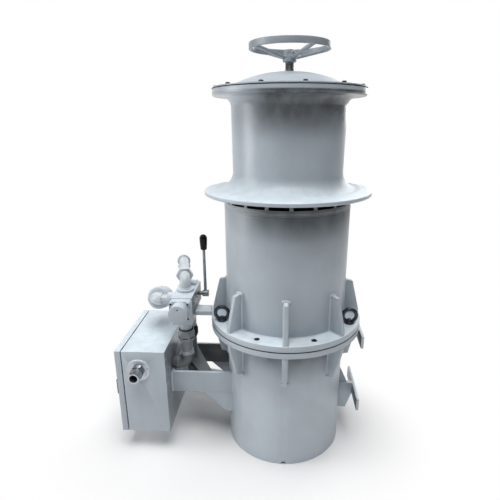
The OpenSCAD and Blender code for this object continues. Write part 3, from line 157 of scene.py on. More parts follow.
class Finish(Tree):
    """A material while it is made."""

    def __init__(self, name, **settings):
        self.material = bpy.data.materials.new(name)
        self.material.use_nodes = True
        super().__init__(self.material.node_tree)
        self.shader = self.nodes["Principled BSDF"]
        self.wear(**settings)

    def place(self, scale=(1, 1, 1)):
        """Where a point is on the winch, in metres, stretched by scale."""
        here = self.node("ShaderNodeTexCoord", {}, {}, "Object")
        return self.node("ShaderNodeVectorMath", {"operation": "MULTIPLY"}, {0: here, 1: scale})

    def noise(self, size, scale=(1, 1, 1), detail=3.0, rough=0.5):
        """A soft cloud from 0 to 1 whose patches are about size metres across."""
        return self.node("ShaderNodeTexNoise", {}, {
            "Vector": self.place(scale), "Scale": 1 / size, "Detail": detail, "Roughness": rough})

    def mix(self, mask, first, second):
        """The first colour where the mask is 0 and the second where it is 1."""
        return self.node("ShaderNodeMix", {"data_type": "RGBA"}, {0: mask, 6: first, 7: second}, 2)

    def bump(self, height, strength, depth=0.001, under=None):
        values = {"Height": height, "Strength": strength, "Distance": depth}
        if under is not None:
            values["Normal"] = under
        return self.node("ShaderNodeBump", {}, values)

    def wear(self, **sockets):
        """Gives the shader's sockets a value or a link, and returns the material."""
        for socket, value in sockets.items():
            self.feed(self.shader.inputs[socket.replace("_", " ")], value)
        return self.material


def shade(r, g, b):
    """A colour as the eye reads it, 0 to 255, in the numbers that a shader takes."""
    return tuple((v / 255) ** 2.2 for v in (r, g, b)) + (1.0,)


print("node helpers ready")

# %% [markdown]
# The winch is sprayed in one light blue-grey. Sprayed paint is never quite flat: it has the fine dimples of
# orange peel, its tone drifts a little from part to part, and level faces are paler: dust and painted top
# light.
# The castings under the paint show through as slow waves, so the drum gets a deeper bump than plain tube.
# An image of paint would blur from close by, so each of these is a noise in its real size.
# Painted shade darkens the drum below its head, and less so the tubes under the drum's foot and under the
# flanges. Each band is the paint's colour made darker between two heights, and weaker at the left, which is
# lit.

# %% The paint
GREY = (185, 195, 204)
SHADE_LEFT, SHADE_RIGHT = -0.17, -0.05    # between these the painted shade grows from weak to full, in metres
SHADE_FADE = 0.006


def paint(name, grey=GREY, peel=0.10, wave=0.0, rings=0.0, rough=0.36, dust_and_top_light=0.8, settle=0.6,
          painted_shade=None):
    """Blue-grey paint over plate, or over a casting with waves or turned rings.

    Pale powder, part dust and part painted light from above, lies on faces more level than settle.
    The last argument: heights in metres where painted shade begins, is full and ends, and how dark it is.
    """
    finish = Finish(name, Coat_Weight=0.12, Coat_Roughness=0.25, IOR=1.48)
    clean = shade(*grey)
    dull = shade(*(v * 0.92 for v in grey))
    dirt = shade(grey[0] * 0.80, grey[1] * 0.79, grey[2] * 0.76)
    # Pale powder on level faces: dust, and painted light from above.
    powder_and_top_light = shade(*(min(v * 1.20, 242) for v in grey))
    drift = finish.band(finish.noise(0.19, detail=4.0), 0.38, 0.66)
    streaks = finish.band(finish.noise(0.018, scale=(1, 1, 0.08), detail=5.0), 0.52, 0.80)
    specks = finish.band(finish.noise(0.0022, detail=2.0, rough=0.6), 0.70, 0.76)
    facing = finish.node("ShaderNodeNewGeometry", {}, {}, "Normal")
    level = finish.node("ShaderNodeSeparateXYZ", {}, {0: facing}, 2)
    patches = finish.band(finish.noise(0.035, detail=5.0), 0.30, 0.70) * 0.4 + 0.8
    settled_and_lit = finish.band(level, settle, 1.0) * patches * dust_and_top_light
    colour = finish.mix(drift * 0.6, clean, dull)
    colour = finish.mix(streaks * 0.22, colour, dull)
    colour = finish.mix(specks * 0.35, finish.mix(settled_and_lit.at_most(1.0), colour, powder_and_top_light), dirt)
    # Painted shade: the paint made darker between two heights, weaker at the lit left.
    if painted_shade:
        begins, full, ends, dark = painted_shade
        spot = finish.place()
        across, height = (finish.node("ShaderNodeSeparateXYZ", {}, {0: spot}, axis) for axis in (0, 2))
        shaded = finish.band(height, begins, full) * (1 - finish.band(height, ends, ends + SHADE_FADE))
        shaded = shaded * (finish.band(across, SHADE_LEFT, SHADE_RIGHT) * 0.75 + 0.25)
        shade_patches = finish.band(finish.noise(0.05, scale=(1, 1, 0.7), detail=6.0), 0.30, 0.70) * 0.25 + 0.72
        colour = finish.mix(shaded * shade_patches, colour, shade(*(v * dark for v in grey)))
    gloss = rough + drift * 0.07 + settled_and_lit * 0.25 + streaks * 0.05
    dimples = finish.bump(finish.noise(0.0038, detail=2.0), peel, 0.0006)
    if wave:
        dimples = finish.bump(finish.noise(0.030, detail=3.0), wave, 0.002, dimples)
    if rings:
        turned = finish.noise(0.011, scale=(0.02, 0.02, 1), detail=3.0, rough=0.7)
        dimples = finish.bump(turned, rings, 0.001, dimples)
    return finish.wear(Base_Color=colour, Roughness=gloss, Normal=dimples)


# Three bands of painted shade, in metres: under the drum's head, under its foot and under the flanges.
UNDER_HEAD = (1.185, 1.315, 1.345, 0.32)
UNDER_DRUM = (0.87, 0.985, 1.1, 0.46)
UNDER_FLANGES = (0.38, 0.48, 0.50, 0.46)
# A paler grey for weld beads and thin lines: a painted highlight.
HIGHLIGHT_GREY = (210, 218, 225)
stand_paint = paint("stand_paint")
upper_paint = paint("upper_paint", painted_shade=UNDER_DRUM)
line_paint = paint("line_paint", grey=HIGHLIGHT_GREY, painted_shade=UNDER_DRUM)
# The lower casing is painted paler than the rest: painted light on the lower tube.
lower_paint = paint("lower_paint", grey=(196, 206, 215), painted_shade=UNDER_FLANGES)
cast_paint = paint("cast_paint", peel=0.14, wave=0.22, rings=0.10, rough=0.27, dust_and_top_light=0.7, settle=-0.1,
                   painted_shade=UNDER_HEAD)
dome_paint = paint("dome_paint", grey=(176, 185, 193), peel=0.10, wave=0.30, rough=0.40, dust_and_top_light=0.0)
sheet_paint = paint("sheet_paint", peel=0.08, wave=0.05, rough=0.34)
wheel_paint = paint("wheel_paint", grey=(156, 164, 171), peel=0.14, wave=0.15, rough=0.34, dust_and_top_light=0.2)
block_paint = paint("block_paint", grey=(182, 191, 199), peel=0.16, wave=0.20, rough=0.28)
pipe_paint = paint("pipe_paint", grey=(194, 202, 209), peel=0.16, wave=0.22, rough=0.26, dust_and_top_light=0.5)
mid_shade_paint = paint("mid_shade_paint", grey=(146, 153, 159), peel=0.20, wave=0.30, rough=0.26, dust_and_top_light=0.5)
grime_and_deep_shade_paint = paint("grime_and_deep_shade_paint", grey=(104, 108, 111), peel=0.20, wave=0.30, rough=0.34, dust_and_top_light=0.8)
bead_paint = paint("bead_paint", grey=HIGHLIGHT_GREY, peel=0.20, rough=0.26, dust_and_top_light=0.2)
print("paints:", len(bpy.data.materials))

# %% [markdown]
# The bright parts are turned steel. The tool leaves fine rings round the axis, so the noise is stretched
# along the surface: very thin across it, long along it. Black parts are oiled steel, rubber and plastic.

# %% Steel, black parts and bronze
def turned_steel(name, tone=(168, 172, 176), rough=0.26, lay=(30, 30, 1)):
    finish = Finish(name, Metallic=1.0)
    grain = finish.noise(0.006, scale=lay, detail=4.0, rough=0.7)
    stain = finish.band(finish.noise(0.016, detail=4.0), 0.50, 0.75)
    colour = finish.mix(stain * 0.5, shade(*tone), shade(*(v * 0.74 for v in tone)))
    return finish.wear(Base_Color=colour, Roughness=rough + grain * 0.16 + stain * 0.12,
                       Normal=finish.bump(grain, 0.12, 0.0003))


def black_part(name, tone, rough, grain_size, depth, **settings):
    """A black finish: oiled steel, rubber or plastic, by its gloss and its grain."""
    finish = Finish(name, **settings)
    grain = finish.noise(grain_size, detail=4.0)
    worn = finish.band(finish.noise(0.012, detail=5.0), 0.55, 0.78)
    colour = finish.mix(worn * 0.6, shade(*tone), shade(*(v * 1.7 + 6 for v in tone)))
    return finish.wear(Base_Color=colour, Roughness=rough + worn * 0.14 + grain * 0.05,
                       Normal=finish.bump(grain, depth, 0.0004))


steel = turned_steel("turned_steel")
flat_steel = turned_steel("ground_steel", lay=(1, 30, 30))
oiled = turned_steel("oiled_steel", tone=(112, 113, 113), rough=0.34)
black_steel = turned_steel("black_steel", tone=(72, 76, 84), rough=0.20, lay=(3, 3, 3))
zinc = turned_steel("zinc_plating", tone=(184, 189, 196), rough=0.22, lay=(1, 1, 1))
dull_steel = turned_steel("dull_steel", tone=(150, 155, 160), rough=0.44)
alloy = turned_steel("cast_alloy", tone=(176, 178, 180), rough=0.46, lay=(2, 2, 2))
bronze = turned_steel("turned_bronze", tone=(176, 140, 86), rough=0.30)
# Black rubber, which also serves as painted shade in the union's gaps.
black_rubber = black_part("black_rubber", (22, 22, 22), 0.72, 0.0020, 0.25)
black_plastic = black_part("black_plastic", (5, 5, 7), 0.26, 0.0040, 0.05, IOR=1.30)
# Dark bare metal, which also serves as painted shade in holes, slots, sockets and inside the drum.
bare_and_shade_dark = black_part("bare_and_recess_shade", (40, 40, 40), 0.75, 0.0050, 0.5)
print("finishes:", len(bpy.data.materials))

# %% [markdown]
# Three ways of making a piece are used again and again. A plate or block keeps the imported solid's shape, but
# its edges are softened, because real edges are ground before they are painted and catch the light. A round
# piece is spun from its section. A screw or a post is drawn once and repeated by Geometry Nodes.

# %% Making and seating a mesh
def seat(piece, node, material, stands_for=()):
    """Puts a finished piece on the node's body, gives it its finish and hides what it stands for."""
    for one in material if isinstance(material, (list, tuple)) else [material]:
        piece.data.materials.append(one)
    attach(piece, body_of[node])
    if stands_for:
        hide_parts(*stands_for)
    return piece


def as_object(name, mesh):
    piece = bpy.data.objects.new(name, mesh)
    bpy.context.scene.collection.objects.link(piece)
    return piece


def from_bmesh(name, shape, crease=35):
    """Turns a bmesh into an object with smooth faces and sharp creases."""
    mesh = bpy.data.meshes.new(name)
    shape.to_mesh(mesh)
    shape.free()
    mesh.shade_smooth()
    mesh.set_sharp_from_angle(angle=math.radians(crease))
    return as_object(name, mesh)


def baked(piece, crease=35):
    """Applies the piece's modifiers, so that only its mesh is left."""
    bpy.context.view_layer.update()
    graph = bpy.context.evaluated_depsgraph_get()
    mesh = bpy.data.meshes.new_from_object(piece.evaluated_get(graph))
    piece.modifiers.clear()
    piece.data = mesh
    mesh.shade_smooth()
    mesh.set_sharp_from_angle(angle=math.radians(crease))
    return piece


def softened(node, material, width=1.2, others=(), where=None):
    """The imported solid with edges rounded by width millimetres.

    Where is asked for each face's middle, and its answer, 1 or more, picks one of the other finishes.
    """
    shape = bmesh.new()
    shape.from_mesh(frame["nodes"][node].data)
    bmesh.ops.remove_doubles(shape, verts=shape.verts, dist=2e-5)
    bmesh.ops.dissolve_limit(shape, angle_limit=math.radians(1), verts=shape.verts, edges=shape.edges)
    piece = from_bmesh(node + "_skin", shape)
    bevel = piece.modifiers.new("edges", "BEVEL")
    bevel.width = width * MM
    bevel.segments = 2
    bevel.angle_limit = math.radians(40)
    bevel.use_clamp_overlap = True
    baked(piece)
    if where:
        for face in piece.data.polygons:
            face.material_index = int(where(face.center / MM))
    return seat(piece, node, [material, *others], (node,))


print("helpers ready for", len(frame["nodes"]), "nodes")

# %% [markdown]
# A section is a list of corners, as radius and height in millimetres. Each corner can have its own rounding,
# which is replaced by a short arc that touches both sides, as a turning tool or a file would leave it. Every
# round piece is then a stack of rings of points, with faces between each ring and the next.

# %% Spinning a section
def eased(corners, steps=5):
    """A closed section whose corners (r, z, rounding) are replaced by arcs."""
    line = []
    count = len(corners)
    for i, (r, z, rounding) in enumerate(corners):
        here = Vector((r, z))
        if rounding <= 0:
            line.append(here)
            continue
        before = (Vector(corners[i - 1][:2]) - here).normalized()
        after = (Vector(corners[(i + 1) % count][:2]) - here).normalized()
        half = before.angle(after) / 2
        reach = rounding / math.tan(half)
        centre = here + (before + after).normalized() * rounding / math.sin(half)
        first = here + before * reach - centre
        last = here + after * reach - centre
        turn = first.angle_signed(last)
        for k in range(steps + 1):
            line.append(centre + Matrix.Rotation(-turn * k / steps, 2) @ first)
    return line


def ring_of_points(shape, radius, z, count):
    """A level ring round the Z axis; its radius is a number or a function of the angle."""
    points = []
    for k in range(count):
        a = 2 * math.pi * k / count
        r = (radius(a) if callable(radius) else radius) * MM
        points.append(shape.verts.new((r * math.cos(a), r * math.sin(a), z * MM)))
    return points


def bridge(shape, rings, closed=False):
    """Faces between each ring and the next. A ring of one point is the tip of a cone."""
    for low, high in zip(rings, rings[1:] + rings[:1] if closed else rings[1:]):
        for k in range(max(len(low), len(high))):
            corners = [low[k % len(low)], low[(k + 1) % len(low)],
                       high[(k + 1) % len(high)], high[k % len(high)]]
            corners = list(dict.fromkeys(corners))
            if len(corners) > 2:
                shape.faces.new(corners)


def spun(name, section, turns=160):
    """A closed section turned once round the Z axis."""
    shape = bmesh.new()
    bridge(shape, [ring_of_points(shape, r, z, turns if r > 1e-6 else 1) for r, z in section], closed=True)
    bmesh.ops.recalc_face_normals(shape, faces=shape.faces)
    return from_bmesh(name, shape)


print("an eased square has", len(eased([(10, 0, 1), (20, 0, 1), (20, 5, 1), (10, 5, 1)])), "points")

# %% [markdown]
# Geometry Nodes repeat a piece round an axis. The piece is drawn once at the origin; the tree puts points
# on a circle, sets a copy on each, turns it to face outwards, and makes one mesh of them all.

# %% Repeating round an axis
def node_group(name, inputs, output):
    """An empty geometry tree: its wires for the inputs by name, and the socket that its result goes to."""
    group = bpy.data.node_groups.new(name, "GeometryNodeTree")
    for socket, kind in inputs.items():
        group.interface.new_socket(socket, in_out="INPUT", socket_type="NodeSocket" + kind)
    group.interface.new_socket(output, in_out="OUTPUT", socket_type="NodeSocketGeometry")
    tree = Tree(group)
    given = {socket.name: Wire(tree, socket) for socket in tree.nodes.new("NodeGroupInput").outputs}
    print(name, "takes", ", ".join(inputs))
    return group, tree, given, tree.nodes.new("NodeGroupOutput").inputs[0]


def finished(tree, geometry, material):
    """One mesh of the geometry, with its finish."""
    real = tree.node("GeometryNodeRealizeInstances", {}, {0: geometry})
    return tree.node("GeometryNodeSetMaterial", {}, {"Geometry": real, "Material": material})


def ring_tree():
    """The tree that repeats its own mesh round the Z axis."""
    group, tree, given, result = node_group("repeat_round_axis", {
        "Piece": "Geometry", "Count": "Int", "Circle radius": "Float", "First angle": "Float",
        "Step angle": "Float", "Height": "Float", "Finish": "Material"}, "Ring")
    index = tree.node("GeometryNodeInputIndex", {}, {})
    angle = tree.node("ShaderNodeMath", {"operation": "MULTIPLY_ADD"}, {
        0: index, 1: given["Step angle"], 2: given["First angle"]})
    turn = tree.node("ShaderNodeCombineXYZ", {}, {"Z": angle})
    out = tree.node("ShaderNodeCombineXYZ", {}, {"X": given["Circle radius"], "Z": given["Height"]})
    place = tree.node("ShaderNodeVectorRotate", {"rotation_type": "EULER_XYZ"}, {
        "Vector": out, "Rotation": turn})
    points = tree.node("GeometryNodePoints", {}, {"Count": given["Count"], "Position": place})
    copies = tree.node("GeometryNodeInstanceOnPoints", {}, {
        "Points": points, "Instance": given["Piece"], "Rotation": turn})
    tree.feed(result, finished(tree, copies, given["Finish"]))
    return group


def grown(piece, group, values, crease=35):
    """Runs a geometry tree on the piece, and keeps only the mesh that comes out, without its finish."""
    run = piece.modifiers.new(group.name, "NODES")
    run.node_group = group
    for item in group.interface.items_tree:
        if item.name in values:
            run[item.identifier] = values[item.name]
    baked(piece, crease)
    piece.data.materials.clear()


RING = ring_tree()


def repeated(piece, count, radius, first, step, height, material):
    """Copies of the piece, count of them, on a circle: lengths in millimetres and angles in degrees."""
    grown(piece, RING, {
        "Count": count, "Circle radius": radius * MM, "First angle": math.radians(first),
        "Step angle": math.radians(step), "Height": height * MM, "Finish": material})
    print(piece.name, count, "copies,", len(piece.data.polygons), "faces")
    return piece


# %% [markdown]
# The drum is a casting: a wide foot flange, a waisted barrel that the rope runs on, and a head flange. Its
# section is drawn with the same arcs that a pattern maker would use, and spun finely, because its long
# reflections show every facet. Inside and underneath it is bare and dark, partly as painted shade. Its heights
# are read from the packed drum, as are those of the pieces that follow, so that every piece sits where the
# model has it.

# %% The drum
def ends_of(node, axis):
    """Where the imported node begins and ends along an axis, in millimetres."""
    return [round(corner[axis] / MM, 2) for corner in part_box(node)]


X, Y, Z = 0, 1, 2
FOOT, HEAD = ends_of("drum", Z)
MOUTH = 182
drum_section = eased([
    (MOUTH, FOOT, 1), (299, FOOT, 5.5), (299, FOOT + 13.5, 3.6), (257, FOOT + 20.5, 20), (195, FOOT + 23, 58),
    (198.5, HEAD - 23, 32), (261, HEAD - 23, 7), (261, HEAD, 1.5), (MOUTH, HEAD, 1),
    (MOUTH, 1293, 0), (110, 1293, 1), (110, 1281.7, 1), (MOUTH, 1281.7, 2), (MOUTH, 1167.7, 3),
    (85, 1167.7, 3), (85, 1269.7, 1), (58, 1269.7, 0), (58, 1039.7, 0), (85, 1039.7, 1),
    (85, 1149.7, 3), (MOUTH, 1149.7, 3),
], steps=14)
drum = spun("drum_casting", drum_section, turns=256)
seat(drum, "drum", [cast_paint, bare_and_shade_dark], ("drum",))
# Faces inside and underneath take the dark finish: bare metal, and painted shade.
for face in drum.data.polygons:
    middle = face.center / MM
    underneath = face.normal.z < -0.9 and middle.z < FOOT + 7.3
    face.material_index = int(math.hypot(middle.x, middle.y) < MOUTH - 0.5 or underneath)
print("drum faces", len(drum.data.polygons))

# %% [markdown]
# The cover is a dome of thick sheet with a flat lip, pressed as a slice of a sphere, and drawn as one. Its
# gasket is squeezed out a little all round, so that it shows as a black line below the lip.

# %% The cover and its gasket
COVER, CROWN = ends_of("drum_cover", Z)
SHEET, WIDE = 5, 208
LIP = COVER + SHEET
RISE = CROWN - LIP
SPHERE = (WIDE ** 2 + RISE ** 2) / (2 * RISE)
dome = [(0, CROWN)]
for r in (WIDE * k / 24 for k in range(1, 25)):
    dome.append((r, CROWN - SPHERE + math.sqrt(SPHERE ** 2 - r ** 2)))
lip = [(210.5, LIP + 0.2), (214, LIP + 0.05), (257.5, LIP), (258.7, LIP - 0.5), (259, LIP - 1.3),
       (259, COVER), (203, COVER)]
inner = [(r, z - SHEET) for r, z in reversed(dome[:-1])]
cover = spun("cover_dome", dome + lip + inner, 192)
seat(cover, "drum_cover", dome_paint, ("drum_cover",))
seal = spun("cover_gasket_ring", [
    (MOUTH, HEAD), (259.5, HEAD - 0.1), (260.8, HEAD - 0.5), (261.6, HEAD + 1),
    (260.8, COVER + 0.6), (258.8, COVER + 0.7), (258.6, COVER), (MOUTH, COVER)])
seat(seal, "cover_gasket", black_rubber, ("cover_gasket",))
print("cover crown at", CROWN, "mm, on a sphere of", round(SPHERE), "mm")

# %% [markdown]
# Small dark socket screws hold the cover down. Each has a round head with a six-sided hole. It is drawn once
# by stacking rings of points, from the shank's end up the outside, over the rim and down into the socket.

# %% One socket screw
def hexagon(corner):
    """A hexagon's outline as a function of the angle; corner is how far its corners are from the middle."""
    sixth = math.pi / 6
    return lambda a: corner * math.cos(sixth) / math.cos(a % (2 * sixth) - sixth)


def screw(name, head_d, head_h, shank_d, shank_l, socket_d, sides=40):
    """A socket screw on the origin: head up, shank down. Sizes in millimetres."""
    head, shank, socket = head_d / 2, shank_d / 2, socket_d / 2
    shape = bmesh.new()
    rings = [ring_of_points(shape, radius, z, sides) for radius, z in (
        (shank, -shank_l), (shank, 0), (head, 0), (head, head_h - 1), (head - 1, head_h),
        (hexagon(socket + 0.6), head_h), (hexagon(socket), head_h - 0.5), (hexagon(socket), head_h * 0.4))]
    bridge(shape, rings)
    shape.faces.new(list(reversed(rings[0])))
    shape.faces.new(rings[-1])
    return from_bmesh(name, shape, 30)


SCREW_CIRCLE = 247
cover_screw = screw("cover_screw_ring", 14.5, 5, 10, 20, 7)
cover_ring = repeated(cover_screw, 12, SCREW_CIRCLE, 10, 30, LIP, black_steel)
seat(cover_ring, "cover_screws", black_steel, ("cover_screws",))

# %% [markdown]
# The handwheel's rim is a flat bar rolled into a hoop. Four bars rise from the hub to the rim. The hub, the
# rim and the bars are one welded piece, so they are made one mesh, in a paint that hands have darkened.

# %% The handwheel
def bar(name, start, end, width, thickness, easing=1.2):
    """A flat bar between two points, its width level and its edges rounded."""
    start, end = Vector(start) * MM, Vector(end) * MM
    along = (end - start).normalized()
    side = along.cross(Vector((0, 0, 1))).normalized()
    up = side.cross(along)
    shape = bmesh.new()
    bmesh.ops.create_cube(shape, size=1.0)
    size = Matrix.Diagonal(((end - start).length, width * MM, thickness * MM, 1))
    turn = Matrix((along, side, up)).transposed().to_4x4()
    bmesh.ops.transform(shape, matrix=Matrix.Translation((start + end) / 2) @ turn @ size, verts=shape.verts)
    bmesh.ops.bevel(shape, geom=shape.edges[:], offset=easing * MM, segments=2, affect="EDGES", profile=0.5)
    return from_bmesh(name, shape)


def joined(name, pieces):
    """Several objects made one mesh."""
    shape = bmesh.new()
    for piece in pieces:
        shape.from_mesh(piece.data)
        bpy.data.objects.remove(piece)
    return from_bmesh(name, shape)


HUB_FOOT, RIM_TOP = ends_of("handwheel", Z)
HUB_TOP, RIM_FOOT = HUB_FOOT + 20, RIM_TOP - 20.7
RIM = ends_of("handwheel", X)[1]
RIM_IN = RIM - 8
rim = spun("rim", eased([
    (RIM_IN, RIM_FOOT, 2), (RIM, RIM_FOOT, 2), (RIM, RIM_TOP, 2.4), (RIM_IN, RIM_TOP, 2.4)]))
hub = spun("hub", eased([(13, HUB_FOOT, 1), (23, HUB_FOOT, 2), (23, HUB_TOP, 2.5), (13, HUB_TOP, 1)]), 64)
spoke = bar("spokes", (-4, 0, 1.1), (110, 0, 30.6), 15, 8)
spokes = repeated(spoke, 4, 19, 33, 90, HUB_FOOT + 10, cast_paint)
wheel = seat(joined("handwheel_welded", [rim, hub, spokes]), "handwheel", wheel_paint, ("handwheel",))
print("handwheel", len(wheel.data.polygons), "faces")

# %% [markdown]
# The spindle's thread shows between the cover and the hub. A thread is a groove that climbs as it turns, so
# its section is followed round in small steps while it rises one pitch for each turn. The nut on top was
# painted together with the wheel, and the spindle wasn't.

# %% The spindle and its nut
def hex_nut(name, across, height, bore, z, chamfer=2.0):
    """A nut, across wide over its corners, whose upper and lower corners are turned off."""
    flat = across / 2 * math.cos(math.pi / 6)
    sides = hexagon(across / 2)
    shape = bmesh.new()
    bridge(shape, [ring_of_points(shape, radius, z + level, 48) for radius, level in (
        (bore, 0), (flat, 0), (sides, chamfer), (sides, height - chamfer), (flat, height), (bore, height))],
        closed=True)
    bmesh.ops.recalc_face_normals(shape, faces=shape.faces)
    return from_bmesh(name, shape, 28)


def threaded_rod(name, radius, depth, pitch, low, high):
    """A rod with a climbing V thread between two heights."""
    shape = bmesh.new()
    rows = round((high - low) / pitch * 6)
    rings = []
    for z in (low + (high - low) * i / rows for i in range(rows + 1)):
        run_out = min(1, (z - low) / pitch, (high - z) / pitch)

        def groove(a):
            phase = ((z - low) / pitch - a / (2 * math.pi)) % 1
            return radius - depth * run_out * (1 - abs(2 * phase - 1))

        rings.append(ring_of_points(shape, groove, z, 40))
    bridge(shape, rings)
    shape.faces.new(list(reversed(rings[0])))
    shape.faces.new(rings[-1])
    return from_bmesh(name, shape, 60)


ROD_FOOT, ROD_TOP = ends_of("spindle", Z)
THREAD_LOW, THREAD_TOP = CROWN + 1.3, HUB_FOOT + 0.3
plain = spun("plain", eased([
    (0, ROD_FOOT, 0), (15, ROD_FOOT, 1), (15, THREAD_LOW, 0), (0, THREAD_LOW, 0)]), 48)
thread = threaded_rod("thread", 15, 2.2, 6, THREAD_LOW, THREAD_TOP)
top = spun("top", eased([
    (0, THREAD_TOP, 0), (13, THREAD_TOP, 0), (13, ROD_TOP, 2), (0, ROD_TOP, 0)]), 48)
seat(joined("spindle_threaded", [plain, thread, top]), "spindle", oiled, ("spindle",))
seat(hex_nut("wheel_nut", 40, 15, 12.7, HUB_TOP), "spindle", wheel_paint, ())
print("spindle reaches", ROD_TOP, "mm")

# %% [markdown]
# The two eye bolts are forged and blackened. The ring is thick where it joins the collar on the flange; the
# shank goes down through both flanges to a nut. Both rings face the front, so they are made in place.

# %% The eye bolts
def torus(name, major, minor, centre, turns=64, steps=24):
    """A ring that stands in the XZ plane."""
    x, y, z = centre
    shape = bmesh.new()
    rings = []
    for a in (2 * math.pi * i / turns for i in range(turns)):
        points = []
        for b in (2 * math.pi * j / steps for j in range(steps)):
            out = major + minor * math.cos(b)
            corner = (x + out * math.cos(a), y + minor * math.sin(b), z + out * math.sin(a))
            points.append(shape.verts.new(tuple(v * MM for v in corner)))
        rings.append(points)
    bridge(shape, rings, closed=True)
    bmesh.ops.recalc_face_normals(shape, faces=shape.faces)
    return from_bmesh(name, shape)


DECK, UNDER = ends_of("upper_flange", Z)[1], ends_of("lower_flange", Z)[0]
BOLT_CIRCLE = 258
eyes = []
for turn in (-157.5, -22.5):
    x, y = BOLT_CIRCLE * math.cos(math.radians(turn)), BOLT_CIRCLE * math.sin(math.radians(turn))
    ring = torus("eye", 24.5, 7, (x, y, DECK + 31))
    shank = spun("shank", eased([
        (0, DECK - 66, 0), (8, DECK - 66, 1), (8, DECK, 0), (18, DECK, 1.5), (18, DECK + 7, 1.5),
        (12.5, DECK + 9, 3), (10, DECK + 16, 3), (0, DECK + 17, 0)]), 48)
    nut = hex_nut("nut", 27.7, 13, 8, UNDER - 13)
    for part in (shank, nut):
        part.data.transform(Matrix.Translation((x * MM, y * MM, 0)))
    eyes += [ring, shank, nut]
seat(joined("eye_bolts_forged", eyes), "eye_bolts", black_steel, ("eye_bolts",))
print("eye bolts at +-", round(abs(x), 1), "mm")

# %% [markdown]
# Plates, blocks, tubes and pipes keep their imported shapes. Only their edges are eased, by an amount that
# fits how each was made: sawn plate gets a small one, a casting a larger one, folded sheet the largest.
# Some faces get another finish, picked by where they are: the walls of holes and slots are dark, partly bare
# metal, partly painted shade; faces in shade, such as the rear arm's front, get darker paint as painted shade.

# %% Plates, tubes and castings
EASED = {
    "upper_casing": (upper_paint, 0.8), "gussets": (stand_paint, 1.4), "flange_bolts": (stand_paint, 0.8),
    "main_bearings": (oiled, 1.0),
    "pad_arm": (stand_paint, 1.2), "front_arm": (stand_paint, 1.2),
    "cabinet_rail": (stand_paint, 1.2), "arm_braces": (stand_paint, 1.2),
    # The bay plate and return pipe are darker: painted shade in the bay, partly grease.
    "bay_plate": (grime_and_deep_shade_paint, 1.0), "valve_bar": (stand_paint, 1.2),
    "cabinet_door": (sheet_paint, 2.4), "door_seal": (black_rubber, 0.5),
    "door_hinges": (steel, 0.8), "door_latch": (black_steel, 1.5),
    "filter_regulator": (alloy, 2.5), "lubricator": (alloy, 2.5), "cabinet_pipe": (steel, 0.6),
    "valve_spool": (steel, 0.3), "lever_shaft": (dull_steel, 0.8), "lever_rod": (dull_steel, 0.5),
    "silencer": (pipe_paint, 2.0), "silencer_elbow": (pipe_paint, 1.6), "top_elbow": (pipe_paint, 1.6),
    "riser_pipe": (pipe_paint, 1.6), "return_pipe": (grime_and_deep_shade_paint, 1.6),
    "motor_plate": (oiled, 1.0), "motor_case": (oiled, 1.5), "motor_cylinders": (oiled, 1.0),
}
for node, (material, width) in EASED.items():
    softened(node, material, width)


def union_finish(p):
    """0 the union on top, 1 the supply's, darker as painted shade, 2 the return's, black as painted shade."""
    return 0 if p.z > 500 else 1 if p.y < 0 else 2


softened("union_nuts", pipe_paint, 1.2, [mid_shade_paint, black_rubber], union_finish)
# The supply pipe is darker: painted shade, deeper below the bay's edge.
softened("supply_pipe", mid_shade_paint, 1.2, [grime_and_deep_shade_paint], lambda p: p.z < 380)
BLOCK_RIGHT = ends_of("valve_body", X)[1]
VENT_X, VENT_Z = sum(ends_of("valve_end_cap", X)) / 2, 616
# The block's right face is darker: painted shade beside the lever.
softened("valve_body", block_paint, 2.2, [grime_and_deep_shade_paint], lambda p: p.x > BLOCK_RIGHT - 2)
# The end cap's vent is dark: painted shade in the hole.
softened("valve_end_cap", block_paint, 2.0, [bare_and_shade_dark],
         lambda p: math.hypot(p.x - VENT_X, p.z - VENT_Z) < 3.2)
INLET_X, INLET_Z = (round(sum(ends_of("inlet_fitting", axis)) / 2) for axis in (X, Z))
CASING = ends_of("upper_casing", X)[1]
OUTSIDE = CASING - 1.5
PAD_FACE = ends_of("side_pads", X)[0]
HEAD_TOP = ends_of("slotted_ring", Z)[0]
CABINET_RIGHT = ends_of("cabinet", X)[1]
REAR_FRONT = ends_of("rear_arm", Y)[0]


# The bolt holes' walls are dark: painted shade.
def in_hole(p):
    """Whether a point of a flange is inside one of its eight bolt holes."""
    turn = math.degrees(math.atan2(p.y, p.x)) % 45 - 22.5
    out = math.hypot(p.x, p.y)
    return math.hypot(out - BOLT_CIRCLE, out * math.radians(turn)) < 9.8


def inlet_finish(p):
    """0 the plated hexagon and mouth, 1 the painted boss, 2 the pipe behind the mouth, dark as painted shade.
    """
    out = math.hypot(p.x - INLET_X, p.z - INLET_Z)
    return 2 if out < 17.5 and p.y > -220 else int(p.y > -181.5 and out > 33)


# The drain's slot is dark: painted shade.
def in_drain(p):
    """Whether a point of the lower casing is inside the drain's slot at its foot."""
    return abs(p.x) < 10.3 and p.y < -216 and p.z < 11


# The slots' walls and the plate under them are dark: painted shade that makes the slots read black.
softened("slotted_ring", upper_paint, 1.0, [bare_and_shade_dark], lambda p: math.hypot(p.x, p.y) < OUTSIDE)
softened("head_plate", upper_paint, 1.4, [bare_and_shade_dark],
         lambda p: p.z > HEAD_TOP - 0.5 and math.hypot(p.x, p.y) < OUTSIDE)
softened("lower_casing", lower_paint, 0.8, [bare_and_shade_dark], in_drain)
